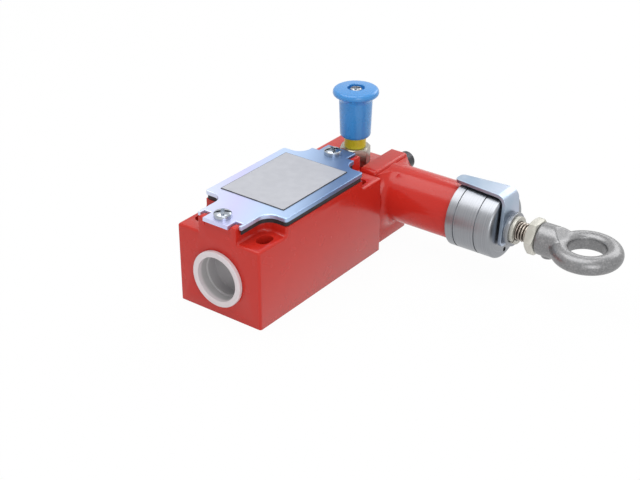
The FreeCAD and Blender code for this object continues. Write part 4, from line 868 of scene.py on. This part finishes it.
def rings_on_rod():
    """The ring, the washer and the split spring ring that clamp the bracket."""
    face = BRACKET_BACK_X + BRACKET_THICKNESS
    for node, radius, thickness in RING_SIZES:
        ring = flat_ring(node + "_turned", face, thickness, radius, FINISHES["turned_steel"])
        rounded(ring, RING_EDGE, segments=2)
        placed(ring, BODY_OF[node], [node])
        face += thickness
    spring = flat_ring("split_spring_ring", face, SPRING_RING_THICKNESS, SPRING_RING_RADIUS,
                       FINISHES["zinc_nut"])
    slit_x = (face - CUT_OVERSHOOT, face + SPRING_RING_THICKNESS + CUT_OVERSHOOT)
    slit = block("tool", slit_x, (-SPRING_RING_SLIT / 2, SPRING_RING_SLIT / 2), (0, 2 * SPRING_RING_RADIUS),
                 FINISHES["zinc_nut"])
    turn = Matrix.Rotation(math.radians(SPRING_RING_TURN), 4, "X")
    slit.data.transform(Matrix.Translation(PULL_AXIS) @ turn)
    cut_by(spring, [slit])
    rounded(spring, SPRING_RING_EDGE, segments=2)
    placed(spring, BODY_OF["rod_washer"])


PLUG_FLANGE_RADIUS = 11.6
PLUG_FLANGE_THICKNESS = 1.7
PLUG_MOUTH_RADIUS = 9.2
PLUG_MOUTH_DEPTH = 3.5
PLUG_FLOOR_RADIUS = 8.6
PLUG_BARREL_RADIUS = 10.0
PLUG_FLOOR_THICKNESS = 1.5
PLUG_EDGE = 0.45


def entry_plug():
    """The blanking plug, with its stepped cup."""
    axis = Vector((0, 0, (PLUG_LOW.z + PLUG_HIGH.z) / 2))
    body_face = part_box("body_casing")[0].y / MM
    front, inner = body_face - PLUG_FLANGE_THICKNESS, PLUG_HIGH.y / MM
    cup_floor, step = inner - PLUG_FLOOR_THICKNESS, body_face + PLUG_MOUTH_DEPTH
    plug = lathe("entry_plug_moulded", [
        (front, PLUG_MOUTH_RADIUS), (front, PLUG_FLANGE_RADIUS), (body_face, PLUG_FLANGE_RADIUS),
        (body_face, PLUG_BARREL_RADIUS), (inner, PLUG_BARREL_RADIUS), (inner, 0), (cup_floor, 0),
        (cup_floor, PLUG_FLOOR_RADIUS), (step, PLUG_FLOOR_RADIUS), (step, PLUG_MOUTH_RADIUS)],
        axis, (0, 1, 0), FINISHES["plug_plastic"])
    rounded(plug, PLUG_EDGE)
    placed(plug, BODY_OF["entry_plug"], ["entry_plug"])


SEAT_HALF_WIDTH = 6.2
SEAT_FRONT_Y = -39.5
SEAT_REAR_Y = -38.4
SEAT_BOTTOM = 32.0
SEAT_TOP = 38.75
SEAT_EDGE = 0.25
SEAT_GASKET_GAP = 0.1


def front_seat():
    """The low lip of the casting under the cover's front tab, and the gasket cut back behind it."""
    lip = block("front_seat_lip", (-SEAT_HALF_WIDTH, SEAT_HALF_WIDTH), (SEAT_FRONT_Y, SEAT_REAR_Y),
                (SEAT_BOTTOM, SEAT_TOP), FINISHES["casing_paint"])
    rounded(lip, SEAT_EDGE, segments=2)
    placed(lip, BODY_OF["body_casing"])
    gasket = object_of("cover_gasket_trimmed", merged_copy("cover_gasket"), FINISHES["black_rubber"])
    edit = bmesh.new()
    edit.from_mesh(gasket.data)
    parts = list(edit.verts) + list(edit.edges) + list(edit.faces)
    done = bmesh.ops.bisect_plane(edit, geom=parts, plane_co=(0, (SEAT_REAR_Y + SEAT_GASKET_GAP) * MM, 0),
                                  plane_no=(0, -1, 0), clear_outer=True)
    rim = [item for item in done["geom_cut"] if isinstance(item, bmesh.types.BMEdge)]
    bmesh.ops.holes_fill(edit, edges=rim)
    edit.to_mesh(gasket.data)
    edit.free()
    placed(gasket, BODY_OF["cover_gasket"], ["cover_gasket"])


LABEL_X = (-16.0, 15.0)
LABEL_Y = (-18.5, 22.5)
LABEL_SHADOW_LINE_WIDTH = 0.3
LABEL_THICKNESS = 0.25
LABEL_FOIL_RISE = 0.1
LABEL_EDGE = 0.08


def label_plate():
    """A bare foil plate on the cover, with a thin dark line around it that is a painted shadow of the plate's
    edge.
    """
    top = COVER_HIGH.z / MM
    # The dark plate under the foil shows as a painted shadow line around the label.
    back = block("label_border", LABEL_X, LABEL_Y, (top, top + LABEL_THICKNESS), FINISHES["dark_screw"])
    inner_x = (LABEL_X[0] + LABEL_SHADOW_LINE_WIDTH, LABEL_X[1] - LABEL_SHADOW_LINE_WIDTH)
    inner_y = (LABEL_Y[0] + LABEL_SHADOW_LINE_WIDTH, LABEL_Y[1] - LABEL_SHADOW_LINE_WIDTH)
    foil = block("label_foil", inner_x, inner_y, (top, top + LABEL_THICKNESS + LABEL_FOIL_RISE), LABEL_FOIL)
    for piece in (back, foil):
        rounded(piece, LABEL_EDGE, segments=2)
        placed(piece, BODY_OF["cover_plate"])


EYE_GRAIN = 0.4
EYE_SMOOTHING = 6


def cast_eye():
    """The eye as a casting: the solid's form with soft blends where its parts meet."""
    eye = object_of("pull_eye_cast", merged_copy("pull_eye"), FINISHES["cast_eye"])
    remesh = eye.modifiers.new("skin", "REMESH")
    remesh.mode = "VOXEL"
    remesh.voxel_size = EYE_GRAIN * MM
    soft = eye.modifiers.new("soft", "SMOOTH")
    soft.factor = 0.5
    soft.iterations = EYE_SMOOTHING
    with_modifiers_applied(eye)
    eye.data.shade_smooth()
    placed(eye, BODY_OF["pull_eye"], ["pull_eye"])


FLOOR_HALF = 2.0
FLOOR_TONE = 0.86
FLOOR_ROUGHNESS = 0.6
FLOOR_WHITE_SHARE = 0.97
WHITE = (1, 1, 1, 1)
WORLD_LIGHT = 0.42
LAMP_TARGET = (0.03, 0.0, 0.02)
LAMPS = (("key", (-0.12, -0.02, 0.85), (0.8, 0.8), 5.4),
         ("fill", (0.70, -0.55, 0.35), (0.5, 0.5), 2.4),
         ("back", (0.1, 0.8, 0.5), (0.7, 0.3), 2.0))


def background_rays(tree):
    """Is 1 for the rays that see the plain white background: camera, reflections and transmission."""
    path = tree.nodes.new("ShaderNodeLightPath")
    total = path.outputs["Is Camera Ray"]
    for kind in ("Is Glossy Ray", "Is Transmission Ray"):
        larger = tree.nodes.new("ShaderNodeMath")
        larger.operation = "MAXIMUM"
        tree.links.new(total, larger.inputs[0])
        tree.links.new(path.outputs[kind], larger.inputs[1])
        total = larger.outputs[0]
    return total


def studio():
    """A white floor and backdrop that the camera sees as plain white, with a faint shadow on the floor."""
    mesh = bpy.data.meshes.new("floor")
    corners = [(x * FLOOR_HALF, y * FLOOR_HALF, FLOOR_Z) for x, y in ((-1, -1), (1, -1), (1, 1), (-1, 1))]
    mesh.from_pydata(corners, [], [(0, 1, 2, 3)])
    floor = bpy.data.objects.new("floor", mesh)
    bpy.context.scene.collection.objects.link(floor)
    material = bpy.data.materials.new("floor_white")
    material.use_nodes = True
    tree = material.node_tree
    shader = tree.nodes["Principled BSDF"]
    shader.inputs["Base Color"].default_value = (FLOOR_TONE, FLOOR_TONE, FLOOR_TONE, 1)
    shader.inputs["Roughness"].default_value = FLOOR_ROUGHNESS
    glow = tree.nodes.new("ShaderNodeEmission")
    glow.inputs["Color"].default_value = WHITE
    glow.inputs["Strength"].default_value = 1.0
    mix = tree.nodes.new("ShaderNodeMixShader")
    share = tree.nodes.new("ShaderNodeMath")
    share.operation = "MULTIPLY"
    share.inputs[1].default_value = FLOOR_WHITE_SHARE
    tree.links.new(background_rays(tree), share.inputs[0])
    tree.links.new(share.outputs[0], mix.inputs["Fac"])
    tree.links.new(shader.outputs[0], mix.inputs[1])
    tree.links.new(glow.outputs[0], mix.inputs[2])
    tree.links.new(mix.outputs[0], tree.nodes["Material Output"].inputs["Surface"])
    mesh.materials.append(material)
    world = bpy.data.worlds.new("studio")
    bpy.context.scene.world = world
    world.use_nodes = True
    nodes = world.node_tree.nodes
    links = world.node_tree.links
    background = nodes["Background"]
    amount = nodes.new("ShaderNodeMapRange")
    amount.inputs["To Min"].default_value = WORLD_LIGHT
    amount.inputs["To Max"].default_value = 1.0
    links.new(background_rays(world.node_tree), amount.inputs["Value"])
    links.new(amount.outputs["Result"], background.inputs["Strength"])
    background.inputs["Color"].default_value = WHITE


def lamp(name, place, size, power):
    data = bpy.data.lights.new(name, "AREA")
    data.shape = "RECTANGLE"
    data.size, data.size_y = size
    data.energy = power
    thing = bpy.data.objects.new(name, data)
    thing.location = place
    thing.rotation_mode = "QUATERNION"
    thing.rotation_quaternion = (Vector(LAMP_TARGET) - Vector(place)).to_track_quat("-Z", "Y")
    bpy.context.scene.collection.objects.link(thing)


def camera():
    azimuth, elevation, roll = (math.radians(a) for a in (CAMERA_AZIMUTH, CAMERA_ELEVATION, CAMERA_ROLL))
    back = Vector((math.sin(azimuth) * math.cos(elevation), -math.cos(azimuth) * math.cos(elevation),
                   math.sin(elevation)))
    right = Vector((math.cos(azimuth), math.sin(azimuth), 0))
    up = back.cross(right)
    right, up = (right * math.cos(roll) + up * math.sin(roll), up * math.cos(roll) - right * math.sin(roll))
    place = (right * CAMERA_SHIFT_RIGHT + up * CAMERA_SHIFT_UP + back * CAMERA_DISTANCE
             + Vector((0, CAMERA_Y_OFFSET, 0))) * MM
    data = bpy.data.cameras.new("camera")
    data.sensor_width = SENSOR_WIDTH
    data.lens = CAMERA_FOCAL_PIXELS / IMAGE_WIDTH * SENSOR_WIDTH
    data.clip_start = 0.01
    thing = bpy.data.objects.new("camera", data)
    turn = Matrix((right, up, back)).transposed().to_4x4()
    thing.matrix_world = Matrix.Translation(place) @ turn
    bpy.context.scene.collection.objects.link(thing)
    bpy.context.scene.camera = thing


finish_nodes()
for name, edge in NODE_EDGES.items():
    dressed(name, edge)
cover_screws(repeat_tree())
knob_screw()
reset_knob()
guide_sleeve()
indicator_bracket()
pull_rod(helix_tree())
rings_on_rod()
entry_plug()
front_seat()
label_plate()
cast_eye()
studio()
for settings in LAMPS:
    lamp(*settings)
camera()
bpy.context.scene.view_settings.view_transform = "Standard"
